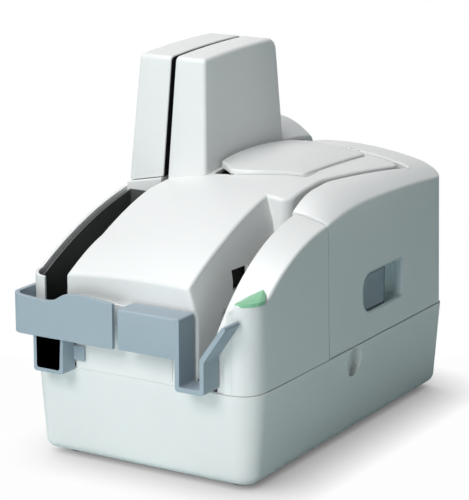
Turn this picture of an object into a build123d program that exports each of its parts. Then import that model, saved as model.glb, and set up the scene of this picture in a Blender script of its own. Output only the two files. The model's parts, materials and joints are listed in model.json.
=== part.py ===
from build123d import *
import os
from math import asin, cos, degrees, radians, sin, sqrt

# A desktop cheque scanner. Millimetres, +Z up, the front towards -Y.
# Inside this file x = 0, y = 0 is the middle of the body's footprint. The finished pieces are
# written with the bottom centre of the whole machine's box as the origin.

# ---- casing ----
body_width = 173.0
body_depth = 280.0
seam_height = 60.2          # top rim of the lower casing
ground = -6.0               # height of the feet's soles
foot_height = 2.5
foot_radius = 7.0
foot_inset = 22.0
wall = 2.5                  # moulded walls
lower_taper = 4.0           # the lower casing leans in this many degrees
upper_taper = 1.2
front_corner = 18.0         # plan radius of the front right corner
left_corner = 10.0
rear_corner = 9.0
bottom_round = 8.0
floor_thickness = 3.0
post_radius = 5.0
post_inset = 17.0
screw_radius = 1.5
screw_head_radius = 2.8
screw_head_height = 1.8
shut_line = 0.4             # gap between a cover and its neighbour
seat_gap = 0.2              # gap between seated curved faces
beyond = 200.0              # further up or back than any cover reaches
aside = 100.0               # further to a side than any cover reaches

# ---- domed top ----
crest_height = 177.6
crest_x = 5.0
crest_y = 18.0
nose_drop = 50.1            # fall of the crest line from its top to the front of the nose
tail_drop = 5.5             # and from its top to the rear
side_bow = 250.0            # radius of the dome across the machine
nose_bow = 560.0            # flatter radius at the front of the nose
nose_blend = 40.0           # length over which the bow changes
dome_step = 18.0            # spacing of the sections the dome is drawn through
eaves = 20.0                # width of the band that falls away along its outer top edge
eaves_fall = 5.0            # and how far it falls

# ---- centre cover: nose and deck ----
nose_front = -137.5
nose_left = -59.0
nose_right = 43.0
nose_top_right = 37.0       # the nose's right shoulder leans out below this line
shoulder_depth = 20.0
deck_front = -38.0
deck_right = 53.0
deck_flare_y = 10.0
deck_rear_right = 67.0
deck_rear = 104.0
deck_skirt = 12.0
deck_round = 8.0
path_left = -54.0           # inner wall of the left leg of the paper path
exit_y = -24.0

# ---- paper path ----
path_gap = 3.5
turn_x = -0.5
turn_y = 50.0
guide_wall = 2.0
guide_drop = 29.6           # from the crest down to the path walls' upper edges
path_floor_top = 66.5
chassis_thickness = 2.5

# ---- front housing on the right ----
housing_inner = 59.0
housing_split = -38.3       # its rear edge, where the transport cover starts
housing_knee = 108.0        # height at which its front leans back
knee_round = 12.0
inner_rise = ((-98.0, 140.0), (-38.3, 159.5))
outer_rise = ((-85.0, 141.5), (-38.3, 153.4))

# ---- transport cover on the rear right ----
groove = 3.5                # gap beside the deck
cover_skirt = 12.0
rear_slot_y = 108.0
hinge_x = -22.2
hinge_y = 137.2
hinge_pin_radius = 1.3
hinge_barrel_radius = 2.6
hinge_levels = (76.0, 128.0)
hinge_knuckle = 10.0
running = 0.05              # radial clearance of a shaft in its hole

# ---- latch on the transport cover ----
recess_front = 10.0
recess_rear = 72.0
recess_low = 79.0
recess_high = 109.0
recess_depth = 9.0
recess_front_round = 12.0
recess_rear_round = 5.0
pad_length = 38.0
pad_thickness = 3.0
latch_depth = 3.5           # of its hinge pin inside the body's side
pad_gap = 0.8               # extra room for the pad's rounded front end to swing
latch_y = 13.5
latch_pin_radius = 1.2
latch_barrel_radius = 2.2
finger_y = -1.0             # finger scoop in the lower casing
finger_z = 47.5
finger_radius = 10.5
finger_depth = 4.0

# ---- left side ----
left_wall_top = ((-127.5, 122.3), (-76.0, 145.5), (-24.0, 159.0))
left_cover_rear = 92.0
left_cover_slope = 0.2
left_cover_low = 162.0
hump_height = 192.0
hump_x = -56.0
hump_left_fall = 15.0
hump_right_fall = 14.0
hump_rear_fall = 5.0
exit_wall = 1.5
liner_front = -136.5
skirt_low = 152.0           # lower edge of the inner skirts at the rear left

# ---- tower ----
tower_front = -22.0
tower_rear = 90.0
tower_lean_front = 6.0
tower_lean_rear = 7.0
tower_top_front = 253.2
tower_top_middle = 255.8
tower_top_rear = 256.0
tower_front_round = 4.0
tower_rear_round = 10.0
tower_edge_round = 3.5      # rounding of the outer half's upright edges
tower_right = -22.2
tower_top_left = -79.8
tower_top_right = -26.5
slot_low = (-57.8, -53.8)
slot_high = (-53.4, -49.6)
tower_wall = 2.4
tower_pin_x = -79.0
tower_pin_y = 82.0
tower_pin_radius = 2.0
tower_pin_length = 30.0
tower_base = 165.0          # height at which the leaning walls start

# ---- cartridge lid ----
lid_left = -20.5
lid_right = 42.0
lid_front = -16.5
lid_sweep = ((10.0, -15.0), (lid_right, 5.0))    # its front edge falls back to the right
lid_corner = (15.5, 13.5)   # cut off its front left corner for a finger, across and along
lid_rear = 97.0
lid_edge = 1.8
lid_swell = 5.2
lid_pin_radius = 0.9
lid_barrel_radius = 1.8
bay = (-17.0, 36.0, 2.0, 84.0)
lid_ears = (-12.0, 32.0)

# ---- front guide, exit guide and stop gate ----
guide_front = -158.7
guide_plate = 3.3
bar_left = -5.0
bar_low = 84.5
bar_high = 112.0
feed_guide = (38.9, 60.8)
feed_guide_low = 63.5
flare_height = 87.0
flare_tip = (81.9, 116.5)
exit_guide = (-75.7, -51.7)
exit_guide_low = 58.5
exit_guide_high = 104.0
gate_right = -9.0
gate_low = 84.0
gate_round = 8.0
gate_pin_out = 2.8          # of the gate's pin outside the body's side
gate_pin_y = -122.0
gate_pin_radius = 1.0
gate_barrel_radius = 2.1
gate_ears = (88.0, 103.5)
gate_clear = 0.5
gate_outline = ((-100, 84.0), (-9.0, 84.0), (-9.0, 114.6), (-40.0, 117.0), (-50.0, 115.0),
                (-58.0, 110.5), (-68.0, 109.6), (-100, 112.0))
panel_left = -51.3
panel_right = 38.5
panel_line = 25.3

# ---- status lens ----
lens = (66.0, 84.0, -136.0, -123.0, 117.0, 131.0)
lens_thickness = 1.6

# ---- rollers ----
roller_radius = 9.5
roller_width = 22.0
roller_nip = 0.8            # how far a roller stands into the path
shaft_radius = 3.0
pulley_radius = 8.0
pulley_width = 7.0
belt_thickness = 1.2
belt_width = 5.0
pinch_radius = 6.0
pinch_pin_radius = 1.5
roller_low = 78.0
roller_drop = 32.0          # from the bridge down to the upper rollers' lower ends
drive_y = 24.0
pick_x = 70.0
pick_y = -78.0
bush_radius = 5.0
bridge_step = 2.0           # the bridge lies this much below those edges
motor_radius = 16.0
motor_height = 34.0
motor_y = -40.0
pinch_gap = 0.4
pinch_ear_low = 73.0
pinch_ear_drop = 7.5
pick_levels = (74.0, 100.0)
pick_window = 8.0
pulley_low = 50.0
rib_low = 72.0
rib_drop = 8.0

# ---- other inner pieces ----
sensor_width = 14.0
sensor_thickness = 9.0
board = (-70.0, 30.0, -100.0, 60.0)
board_height = 14.0
board_thickness = 1.6
holder_height = 20.0
sensor_y = -8.0
outer_sensor_y = -18.0
head_y = 41.0
head_z = 76.0
flipper_pin_y = -104.0
flipper_rear = -64.0

# ---- sockets and switch on the rear ----
inlet_radius = 2.8
inlet_depth = 9.0
inlet_x = -46.0
inlet_body = 5.5
usb_size = (12.0, 11.0)
usb_x = -20.0
switch_x = 16.0
socket_z = 32.0
switch_size = (14.0, 20.0)
switch_rim = 1.5

# ---- derived ----
cover_left = hinge_x + hinge_barrel_radius + shut_line
hump_right = hinge_x - hinge_barrel_radius - shut_line
lid_pin_y = lid_rear + lid_barrel_radius + 0.2
half_width = body_width / 2
half_depth = body_depth / 2
casing_bottom = ground + foot_height
floor_top = casing_bottom + floor_thickness
chassis_top = seam_height + chassis_thickness
guide_top = crest_height - guide_drop
bridge_height = guide_top - bridge_step
roller_levels = (roller_low, bridge_height - roller_drop)
pinch_ear_levels = (pinch_ear_low, bridge_height - pinch_ear_drop)
rib_levels = (rib_low, guide_top - rib_drop)
latch_x = half_width - latch_depth
tower_left = -half_width
gate_pin_x = -half_width - gate_pin_out
inner_turn = turn_x - path_left              # radius of the inner path wall in the turn
outer_turn = inner_turn + path_gap
path_right = turn_x + inner_turn
gate_outer = gate_pin_x - gate_barrel_radius
corner_x, corner_y = half_width - post_inset, half_depth - post_inset
post_places = ((-corner_x, -corner_y), (corner_x, -corner_y), (-corner_x, corner_y),
               (corner_x, corner_y))
foot_x, foot_y = half_width - foot_inset, half_depth - foot_inset
foot_places = ((-foot_x, -foot_y), (foot_x, -foot_y), (-foot_x, foot_y), (foot_x, foot_y))
drive_xs = (path_right + roller_nip - roller_radius, path_left - roller_nip + roller_radius)
shaft_places = ((drive_xs[0], drive_y), (drive_xs[1], drive_y), (pick_x, pick_y))
pinch_offset = inner_turn + roller_nip + pinch_gap + pinch_radius
pinch_window = (roller_levels[0] - 1, roller_levels[1] + roller_width + 1)
main_motor_x = turn_x
recess_x = half_width - recess_depth
tower_seat = left_cover_low + 0.6
dome_stations = [nose_front - 4 + dome_step * step for step in range(17)]
cover_eaves_height = 160.0
part_frame = Location((-(gate_outer + half_width) / 2, -(guide_front + half_depth) / 2, -ground))


# ---- shapes shared by several pieces ----
def crest(y):
    """Height of the dome's crest line at y"""
    if y < crest_y:
        return crest_height - nose_drop * ((crest_y - y) / (crest_y - nose_front)) ** 2
    return crest_height - tail_drop * ((y - crest_y) / (half_depth - crest_y)) ** 2


def bow(y):
    """Radius of the dome across the machine at y"""
    share = min(1.0, (y - nose_front) / nose_blend)
    return nose_bow + (side_bow - nose_bow) * share


def dome(x, y):
    """Height of the domed top at x, y"""
    return crest(y) - (x - crest_x) ** 2 / (2 * bow(y))


def lid_hinge_height():
    """Height of the cartridge lid's hinge pin, just below the deck's surface"""
    return dome((lid_left + lid_right) / 2, lid_pin_y) - 0.4


def side_x(z, inset):
    """X of the upper body's right side at a height, drawn in by inset"""
    return half_width - inset - (z - seam_height) * sin(radians(upper_taper)) - 0.1


def round_corner(outline, place, radius):
    """Round the corner of the outline in hand that is nearest to a place on its plane"""
    fillet(outline.vertices().sort_by_distance(Vector(place[0], place[1], 0))[0], radius)


def span_box(x_span, y_span, z_span, mode=Mode.ADD):
    """Block between three pairs of coordinates, for the part in hand"""
    with Locations((x_span[0], y_span[0], z_span[0])):
        Box(x_span[1] - x_span[0], y_span[1] - y_span[0], z_span[1] - z_span[0],
            align=(Align.MIN, Align.MIN, Align.MIN), mode=mode)


def rod(x, y, z_span, radius, mode=Mode.ADD):
    """Upright cylinder between two heights, for the part in hand"""
    with Locations((x, y, z_span[0])):
        Cylinder(radius, z_span[1] - z_span[0],
                 align=(Align.CENTER, Align.CENTER, Align.MIN), mode=mode)


def lofted(stations, height, x_span, base=0.0):
    """Solid below arched cross sections, from front to back"""
    left, right = x_span
    middle = (left + right) / 2
    with BuildPart() as block:
        for y in stations:
            with BuildSketch(Plane.XZ.offset(-y)):
                with BuildLine():
                    ThreePointArc((left, height(left, y)), (middle, height(middle, y)),
                                  (right, height(right, y)))
                    Polyline((right, height(right, y)), (right, base), (left, base),
                             (left, height(left, y)))
                make_face()
        loft()
    return block.part


def dome_block(lift=0.0):
    """Solid below the domed top, raised by lift"""
    return lofted(dome_stations, lambda x, y: dome(x, max(y, nose_front)) + lift, (-90.0, 100.0))


def eaves_block(inset):
    """Solid below the domed top and the fall along its right edge, drawn in by inset"""
    edge = side_x(cover_eaves_height, 0)
    start_x, middle_x, end_x = edge - eaves, edge - eaves / 2, edge + 0.3
    with BuildPart() as block:
        for y in [y for y in dome_stations if y > deck_front - dome_step]:
            start = (start_x, dome(start_x, y) - inset)
            turn = (middle_x, dome(middle_x, y) - inset - eaves_fall / 4)
            end = (end_x, dome(end_x, y) - inset - eaves_fall)
            with BuildSketch(Plane.XZ.offset(-y)):
                with BuildLine():
                    ThreePointArc((-90, dome(-90, y) - inset), (crest_x, crest(y) - inset), start)
                    ThreePointArc(start, turn, end)
                    Polyline(end, (end_x, 0), (-90, 0), (-90, dome(-90, y) - inset))
                make_face()
        loft()
    return block.part


def body_prism(inset, low, high, taper):
    """Plan of the body, drawn in by inset, between two heights"""
    with BuildPart() as prism:
        with BuildSketch(Plane.XY.offset(seam_height)) as plan:
            Rectangle(body_width - 2 * inset, body_depth - 2 * inset)
            round_corner(plan, (half_width, -half_depth), front_corner - inset)
            round_corner(plan, (-half_width, -half_depth), left_corner - inset)
            round_corner(plan, (-half_width, half_depth), rear_corner - inset)
            round_corner(plan, (half_width, half_depth), rear_corner - inset)
        if low < seam_height:
            extrude(amount=-(seam_height - low), taper=taper)
        if high > seam_height:
            extrude(amount=high - seam_height, taper=taper)
    return prism.part


def plan_prism(points, low, high, rounds=(), inset=0.0):
    """Upright prism on a polygon, with a radius at each named corner, drawn in by inset"""
    with BuildPart() as prism:
        with BuildSketch(Plane.XY.offset(low)) as plan:
            with BuildLine():
                Polyline(*points, close=True)
            make_face()
            for place, radius in rounds:
                round_corner(plan, place, radius)
            if inset:
                offset(amount=-inset, kind=Kind.INTERSECTION)
        extrude(amount=high - low)
    return prism.part


def front_prism(points, y_span):
    """Prism on an (x, z) outline, from front to back"""
    with BuildPart() as prism:
        with BuildSketch(Plane.XZ.offset(-y_span[0])):
            with BuildLine():
                Polyline(*points, close=True)
            make_face()
        extrude(amount=-(y_span[1] - y_span[0]))
    return prism.part


def save(piece, name):
    """Label a finished piece and write it in the machine's own frame"""
    piece.part.label = name
    placed = piece.part.moved(part_frame)
    placed.label = name
    export_step(placed, f"parts/{name}.step")


# ---- casing ----
def make_lower_casing():
    """Tub with a rounded bottom, four posts, a finger scoop and the rear sockets' holes"""
    tub = body_prism(0, casing_bottom, seam_height, lower_taper)
    hollow = body_prism(wall, floor_top, seam_height, lower_taper)
    wall_x = half_width - (seam_height - finger_z) * sin(radians(lower_taper))
    with BuildPart() as lower_casing:
        add(tub)
        fillet(lower_casing.edges().group_by(Axis.Z)[0], bottom_round)
        add(hollow, mode=Mode.SUBTRACT)
        for x, y in post_places:
            rod(x, y, (casing_bottom + 1.0, seam_height), post_radius)
            rod(x, y, (seam_height - 12.0, seam_height), screw_radius + 0.05, Mode.SUBTRACT)
        with Locations(Location((wall_x - 1.0, finger_y, finger_z), (0, 90, 0))):
            Cylinder(finger_radius + wall, 2 * finger_depth,
                     align=(Align.CENTER, Align.CENTER, Align.MAX))
        span_box((-half_width, half_width), (-half_depth, half_depth),
                 (seam_height, seam_height + 10), Mode.SUBTRACT)
        with Locations(Location((wall_x - finger_depth, finger_y, finger_z), (0, 84, 0))):
            Cylinder(finger_radius, 30, align=(Align.CENTER, Align.CENTER, Align.MIN),
                     mode=Mode.SUBTRACT)
        rear = half_depth - 6.0
        with Locations(Location((inlet_x, rear, socket_z), (90, 0, 0))):
            Cylinder(inlet_body + shut_line, 20, mode=Mode.SUBTRACT)
        span_box((usb_x - usb_size[0] / 2 - seat_gap, usb_x + usb_size[0] / 2 + seat_gap),
                 (rear - 5, half_depth + 5),
                 (socket_z - usb_size[1] / 2 - seat_gap, socket_z + usb_size[1] / 2 + seat_gap),
                 Mode.SUBTRACT)
        span_box((switch_x - switch_size[0] / 2 - seat_gap, switch_x + switch_size[0] / 2 + seat_gap),
                 (rear - 5, half_depth + 5),
                 (socket_z - switch_size[1] / 2 - seat_gap,
                  socket_z + switch_size[1] / 2 + seat_gap), Mode.SUBTRACT)
    save(lower_casing, "lower_casing")


def make_feet():
    """Four rubber feet under the lower casing"""
    with BuildPart() as feet:
        for x, y in foot_places:
            rod(x, y, (ground, casing_bottom), foot_radius)
    save(feet, "feet")


def make_chassis():
    """Plate that carries the mechanism, inside the covers' walls"""
    with BuildPart() as main_chassis:
        add(body_prism(wall + shut_line, seam_height, chassis_top, 0))
        for x, y in post_places:
            rod(x, y, (seam_height, chassis_top), screw_radius + running, Mode.SUBTRACT)
        for x, y in shaft_places:
            rod(x, y, (seam_height, chassis_top), bush_radius, Mode.SUBTRACT)
        rod(main_motor_x, motor_y, (seam_height, chassis_top), bush_radius, Mode.SUBTRACT)
    save(main_chassis, "main_chassis")


def make_chassis_screws():
    """Screws through the chassis into the posts"""
    with BuildPart() as chassis_screws:
        for x, y in post_places:
            rod(x, y, (seam_height - 10.0, chassis_top), screw_radius)
            rod(x, y, (chassis_top, chassis_top + screw_head_height), screw_head_radius)
    save(chassis_screws, "chassis_screws")


def band_block(lift=0.0):
    """Solid below the housing's top: it leans back from the knee, higher on the inner side"""
    with BuildPart() as block:
        for x, (middle, end) in ((housing_inner - 1, inner_rise), (half_width + 2, outer_rise)):
            knee = (-half_depth, housing_knee + lift)
            back = (end[0] + 12, end[1] + 3 + lift)
            with BuildSketch(Plane.YZ.offset(x)) as profile:
                with BuildLine():
                    ThreePointArc(knee, (middle[0], middle[1] + lift), (end[0], end[1] + lift))
                    Polyline((end[0], end[1] + lift), back, (back[0], 0), (knee[0], 0), knee)
                make_face()
                round_corner(profile, knee, knee_round)
        loft(ruled=True)
    return block.part


def housing_solid(inset):
    """Housing's solid outline, drawn in by inset"""
    with BuildPart() as solid:
        add(body_prism(inset, seam_height, beyond, upper_taper))
        span_box((housing_inner + inset, aside),
                 (-beyond, housing_split + (20 if inset else 0)), (0, beyond),
                 Mode.INTERSECT)
        add(band_block(-inset), mode=Mode.INTERSECT)
    return solid.part


def lens_zone(gap):
    """Block that bounds the status lens, grown by gap"""
    with BuildPart() as zone:
        span_box((lens[0] - gap, aside), (lens[2] - 6, lens[3] + 8), (lens[4] - gap, lens[5] + gap))
    return zone.part


def make_front_housing():
    """Right front housing beside the feed tray, with the lens window and an upper bearing"""
    bracket_low = pick_levels[-1] + roller_width + 2.0
    outer = housing_solid(0)
    inner = housing_solid(wall)
    lens_seat = housing_solid(lens_thickness)
    zone = lens_zone(shut_line / 2)
    with BuildPart() as window:
        add(zone)
        add(lens_seat, mode=Mode.SUBTRACT)
    with BuildPart() as front_housing:
        add(outer)
        add(inner, mode=Mode.SUBTRACT)
        span_box((0, half_width - wall - shut_line / 2), (-half_depth + wall + shut_line / 2, 0),
                 (0, chassis_top), Mode.SUBTRACT)
        add(window.part, mode=Mode.SUBTRACT)
        for level in pick_levels:
            span_box((housing_inner - 1, housing_inner + wall + 1),
                     (pick_y - pick_window, pick_y + pick_window),
                     (level - 1.0, level + roller_width + 1.0), Mode.SUBTRACT)
        span_box((housing_inner + wall / 2, pick_x + 6), (pick_y - 8, pick_y + 8),
                 (bracket_low, bracket_low + wall))
        rod(pick_x, pick_y, (bracket_low - 1, bracket_low + wall + 1), shaft_radius + running,
            Mode.SUBTRACT)
    save(front_housing, "front_housing")


def make_status_lens():
    """Green lens that wraps the housing's front top corner"""
    with BuildPart() as status_lens:
        add(housing_solid(0))
        add(lens_zone(0), mode=Mode.INTERSECT)
        add(housing_solid(lens_thickness - 0.1), mode=Mode.SUBTRACT)
    save(status_lens, "status_lens")


def cover_plan(low, high, inset=0.0):
    """Upright prism on the centre cover's outline"""
    deck_left_rear = left_cover_rear - shut_line
    points = ((nose_left, nose_front), (nose_right, nose_front), (nose_right, deck_front),
              (deck_right, deck_front), (deck_right + 0.5, deck_flare_y),
              (deck_rear_right, deck_rear), (hump_right + shut_line, deck_rear),
              (hump_right + shut_line, deck_left_rear), (path_left, deck_left_rear),
              (path_left, exit_y), (nose_left, exit_y - 16))
    rounds = ((points[0], 4.0), (points[1], 4.0), (points[3], deck_round), (points[4], 40.0),
              (points[5], deck_round))
    return plan_prism(points, low, high, rounds, inset)


def shoulder_block(inset):
    """Nose's right shoulder: the wall leans in over the last stretch below the top"""
    with BuildPart() as block:
        for y in (nose_front - 1, -110, -85, -60, deck_front):
            top = dome(nose_top_right, max(y, nose_front))
            with BuildSketch(Plane.XZ.offset(-y)):
                with BuildLine():
                    Polyline((-aside, 0), (nose_right - inset, 0),
                             (nose_right - inset, top - shoulder_depth),
                             (nose_top_right - inset, top), (nose_top_right - inset - 10, beyond),
                             (-aside, beyond), close=True)
                make_face()
        loft(ruled=True)
        span_box((-aside, aside), (deck_front, half_depth), (0, beyond))
    return block.part


def make_centre_cover():
    """Sloping nose and domed deck in one moulding, with the cartridge bay and hinge slot"""
    low, high = chassis_top, beyond
    with BuildPart() as hollow:
        add(cover_plan(low, high, wall))
        add(dome_block(-wall), mode=Mode.INTERSECT)
        add(shoulder_block(wall), mode=Mode.INTERSECT)
    with BuildPart() as under_deck:
        add(dome_block(-deck_skirt))
        span_box((-aside, aside), (deck_front + deck_round + 2, half_depth), (0, beyond),
                 Mode.INTERSECT)
    pin_z = lid_hinge_height()
    with BuildPart() as centre_cover:
        add(cover_plan(low, high))
        add(dome_block(), mode=Mode.INTERSECT)
        add(shoulder_block(0), mode=Mode.INTERSECT)
        add(hollow.part, mode=Mode.SUBTRACT)
        add(under_deck.part, mode=Mode.SUBTRACT)
        for x in lid_ears:
            span_box((x - 2.5, x + 2.5), (lid_pin_y - 3.5, deck_rear - 1), (pin_z - 4, pin_z + 0.6))
        add(dome_block(), mode=Mode.INTERSECT)
        span_box((bay[0], bay[1]), (bay[2], bay[3]), (140, beyond), Mode.SUBTRACT)
        add(plan_prism(finger_notch(), 140, beyond), mode=Mode.SUBTRACT)
        span_box((lid_ears[0] + 2.8, lid_ears[1] - 2.8),
                 (lid_pin_y - lid_barrel_radius - 0.5, lid_pin_y + lid_barrel_radius + 0.5),
                 (140, beyond), Mode.SUBTRACT)
        with Locations(Location((lid_ears[0] - 4, lid_pin_y, pin_z), (0, 90, 0))):
            Cylinder(lid_pin_radius + running, lid_ears[1] - lid_ears[0] + 8,
                     align=(Align.CENTER, Align.CENTER, Align.MIN), mode=Mode.SUBTRACT)
    save(centre_cover, "centre_cover")


def lid_height(x, y):
    """Height of the cartridge lid's top"""
    share = (lid_right - x) / (lid_right - lid_left)
    swell = lid_swell * share * (1 - ((y - 40.0) / 75.0) ** 2)
    return dome(x, y) + lid_edge + swell


def finger_notch():
    """Plan of the three-sided hole in the deck before the lid's cut-off corner"""
    near, reach = 1.0, 3.0
    left, front = lid_left + 2.5, lid_front - near
    return ((left, front), (lid_left + lid_corner[0] + reach, front),
            (left, lid_front + lid_corner[1] + reach))


def make_cartridge_lid():
    """Raised lid over the cartridge bay, with its hinge barrel behind"""
    blank = lofted((lid_front - 1, 10, 35, 60, 80, lid_rear + 1), lid_height,
                   (lid_left - 1, lid_right + 1))
    points = ((lid_left, lid_front + lid_corner[1]), (lid_left + lid_corner[0], lid_front),
              *lid_sweep, (lid_right, lid_rear), (lid_left, lid_rear))
    sweep_round, corner_round = 40.0, 5.0
    with BuildPart() as cartridge_lid:
        add(blank)
        add(plan_prism(points, 100, beyond, [(p, sweep_round if p is lid_sweep[0] else
                                              corner_round) for p in points]),
            mode=Mode.INTERSECT)
        add(dome_block(seat_gap), mode=Mode.SUBTRACT)
        start, end = lid_ears[0] + 3.2, lid_ears[1] - 3.2
        pin_z = lid_hinge_height()
        with Locations(Location((start, lid_pin_y, pin_z), (0, 90, 0))):
            Cylinder(lid_barrel_radius, end - start,
                     align=(Align.CENTER, Align.CENTER, Align.MIN))
        span_box((start, end), (lid_rear - 2, lid_pin_y), (pin_z + 0.9, pin_z + lid_barrel_radius))
        with Locations(Location((start, lid_pin_y, pin_z), (0, 90, 0))):
            Cylinder(lid_pin_radius + running, end - start,
                     align=(Align.CENTER, Align.CENTER, Align.MIN), mode=Mode.SUBTRACT)
    save(cartridge_lid, "cartridge_lid")


def make_lid_pin():
    """Pin of the cartridge lid, held in the deck's two ears"""
    with BuildPart() as lid_hinge_pin:
        with Locations(Location((lid_ears[0] - 2.5, lid_pin_y, lid_hinge_height()), (0, 90, 0))):
            Cylinder(lid_pin_radius, lid_ears[1] - lid_ears[0] + 5,
                     align=(Align.CENTER, Align.CENTER, Align.MIN))
    save(lid_hinge_pin, "lid_hinge_pin")


# ---- transport cover ----
def transport_plan(low, high, inset=0.0, front=0.0):
    """Upright prism on the transport cover's outline, wider than the body"""
    inner = deck_right + groove
    points = ((inner, deck_front - shut_line / 4 - front), (half_width + 20, deck_front - front),
              (half_width + 20, half_depth + 20), (cover_left, half_depth + 20),
              (cover_left, rear_slot_y), (deck_rear_right + groove, rear_slot_y),
              (inner + 0.5, deck_flare_y))
    return plan_prism(points, low, high, ((points[5], 3.0), (points[6], 40.0)), inset)


def make_transport_cover():
    """Door over the rear right: side wall, top band and rear wall, with the latch recess"""
    bottom = seam_height + shut_line
    with BuildPart() as hollow:
        add(transport_plan(bottom - 5, beyond, wall))
        add(body_prism(wall, seam_height, beyond, upper_taper), mode=Mode.INTERSECT)
        add(eaves_block(wall), mode=Mode.INTERSECT)
    with BuildPart() as below_skirt:
        add(body_prism(wall, seam_height, beyond, upper_taper))
        add(dome_block(-cover_skirt), mode=Mode.INTERSECT)
    with BuildPart() as transport_cover:
        add(transport_plan(bottom, beyond))
        add(body_prism(0, seam_height, beyond, upper_taper), mode=Mode.INTERSECT)
        add(eaves_block(0), mode=Mode.INTERSECT)
        add(hollow.part, mode=Mode.SUBTRACT)
        add(below_skirt.part, mode=Mode.SUBTRACT)
        span_box((recess_x - wall, half_width - 1.0), (recess_front - wall, recess_rear + wall),
                 (recess_low - wall, recess_high + wall))
        add(recess_prism(0), mode=Mode.SUBTRACT)
        rod(latch_x, latch_y, (recess_low - wall - 1, recess_high + wall + 1),
            latch_pin_radius + running, Mode.SUBTRACT)
        for level in hinge_levels:
            rod(hinge_x, hinge_y, (level, level + hinge_knuckle), hinge_barrel_radius)
            span_box((hinge_x, cover_left + 1), (hinge_y - 1.3, hinge_y + 1.3),
                     (level, level + hinge_knuckle))
            rod(hinge_x, hinge_y, (level - 1, level + hinge_knuckle + 1),
                hinge_pin_radius + running, Mode.SUBTRACT)
    save(transport_cover, "transport_cover")


def recess_prism(inset):
    """Latch recess: rounded at its front end, cut in from the side"""
    with BuildPart() as recess:
        with BuildSketch(Plane.YZ.offset(recess_x + inset)) as outline:
            with Locations(((recess_front + recess_rear) / 2, (recess_low + recess_high) / 2)):
                Rectangle(recess_rear - recess_front - 2 * inset,
                          recess_high - recess_low - 2 * inset)
            for z in (recess_low, recess_high):
                round_corner(outline, (recess_front, z), recess_front_round - inset)
                round_corner(outline, (recess_rear, z), recess_rear_round - inset)
        extrude(amount=40)
    return recess.part


def make_latch_pad():
    """Pull pad in the recess, hinged at its front end and open for fingers behind it"""
    with BuildPart() as latch_pad:
        span_box((latch_x - pad_thickness / 2, latch_x + pad_thickness / 2),
                 (recess_front, recess_front + pad_length), (recess_low, recess_high))
        rod(latch_x, latch_y, (recess_low, recess_high), latch_barrel_radius)
        add(Pos(0, pad_gap, 0) * recess_prism(shut_line), mode=Mode.INTERSECT)
        rod(latch_x, latch_y, (recess_low - 1, recess_high + 1), latch_pin_radius + running,
            Mode.SUBTRACT)
    save(latch_pad, "latch_pad")


def make_door_pins():
    """Pins the transport cover carries: one for the latch pad, one for the pinch rollers"""
    with BuildPart() as door_pins:
        rod(latch_x, latch_y, (recess_low - wall, recess_high + wall), latch_pin_radius)
        rod(turn_x + pinch_offset, drive_y, (pinch_ear_levels[0], pinch_ear_levels[1] + 2.5),
            pinch_pin_radius)
    save(door_pins, "door_pins")


def make_cover_pins():
    """Two short pins of the transport cover's hinge"""
    with BuildPart() as transport_hinge_pins:
        for level in hinge_levels:
            rod(hinge_x, hinge_y, (level - hinge_knuckle - shut_line, level + hinge_knuckle),
                hinge_pin_radius)
    save(transport_hinge_pins, "transport_hinge_pins")


# ---- left side ----
def make_left_cover():
    """Outer wall of the exit pocket and the cover under the tower's outer half"""
    thin = wall - 0.2
    with BuildPart() as profile:
        with BuildSketch(Plane.YZ.offset(-half_width - 5)):
            knee, middle, top = left_wall_top
            with BuildLine():
                Polyline((-half_depth - 5, seam_height), (-half_depth - 5, knee[1] - 3), knee)
                ThreePointArc(knee, middle, top)
                Polyline(top, (left_cover_rear, top[1]), (left_cover_rear, seam_height),
                         (-half_depth - 5, seam_height))
            make_face()
        extrude(amount=half_width - 60 + 5)
    over = left_cover_low + left_cover_slope * (half_width + slot_low[0])
    block = ((-half_width, seam_height), (slot_low[0], chassis_top), (slot_low[0], over),
             (-half_width, left_cover_low))
    void = ((-half_width + wall, seam_height), (slot_low[0] + 5, seam_height),
            (slot_low[0] + 5, skirt_low), (slot_low[0] - wall, skirt_low), (slot_low[0] - wall, over - 3.5),
            (-half_width + wall, left_cover_low - 2.8))
    with BuildPart() as left_cover:
        add(body_prism(0, seam_height, beyond, 0))
        span_box((-aside, -75), (-half_depth + 1.2, left_cover_rear), (0, beyond), Mode.INTERSECT)
        add(body_prism(thin, seam_height, beyond, 0), mode=Mode.SUBTRACT)
        add(profile.part, mode=Mode.INTERSECT)
        add(front_prism(block, (exit_y, left_cover_rear)))
        add(front_prism(void, (exit_y + wall, left_cover_rear - wall)), mode=Mode.SUBTRACT)
        span_box((-half_width + thin + 0.2, slot_low[0] + 1), (exit_y - 1, exit_y + wall + 1),
                 (seam_height, chassis_top), Mode.SUBTRACT)
        span_box((-half_width + thin + 0.2, slot_low[0] + 1),
                 (left_cover_rear - wall - 1, left_cover_rear + 1), (seam_height, chassis_top),
                 Mode.SUBTRACT)
        rod(tower_pin_x, tower_pin_y, (148, tower_seat), 4.0)
        rod(tower_pin_x, tower_pin_y, (140, beyond), tower_pin_radius + running, Mode.SUBTRACT)
        for z in gate_ears:
            span_box((gate_outer, -half_width + 0.5), (gate_pin_y - 2.1, gate_pin_y + 2.1),
                     (z, z + 2.5))
            rod(gate_pin_x, gate_pin_y, (z - 1, z + 4), gate_pin_radius + running, Mode.SUBTRACT)
    save(left_cover, "left_cover")


def hump(x, y):
    """Height of the rear left cover: a ridge behind the tower"""
    fall = hump_left_fall if x < hump_x else hump_right_fall
    reach = half_width + hump_x if x < hump_x else hump_right - hump_x
    lower = hump_rear_fall * ((y - left_cover_rear) / (half_depth - left_cover_rear)) ** 2
    return hump_height - lower - fall * ((x - hump_x) / reach) ** 2


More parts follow.
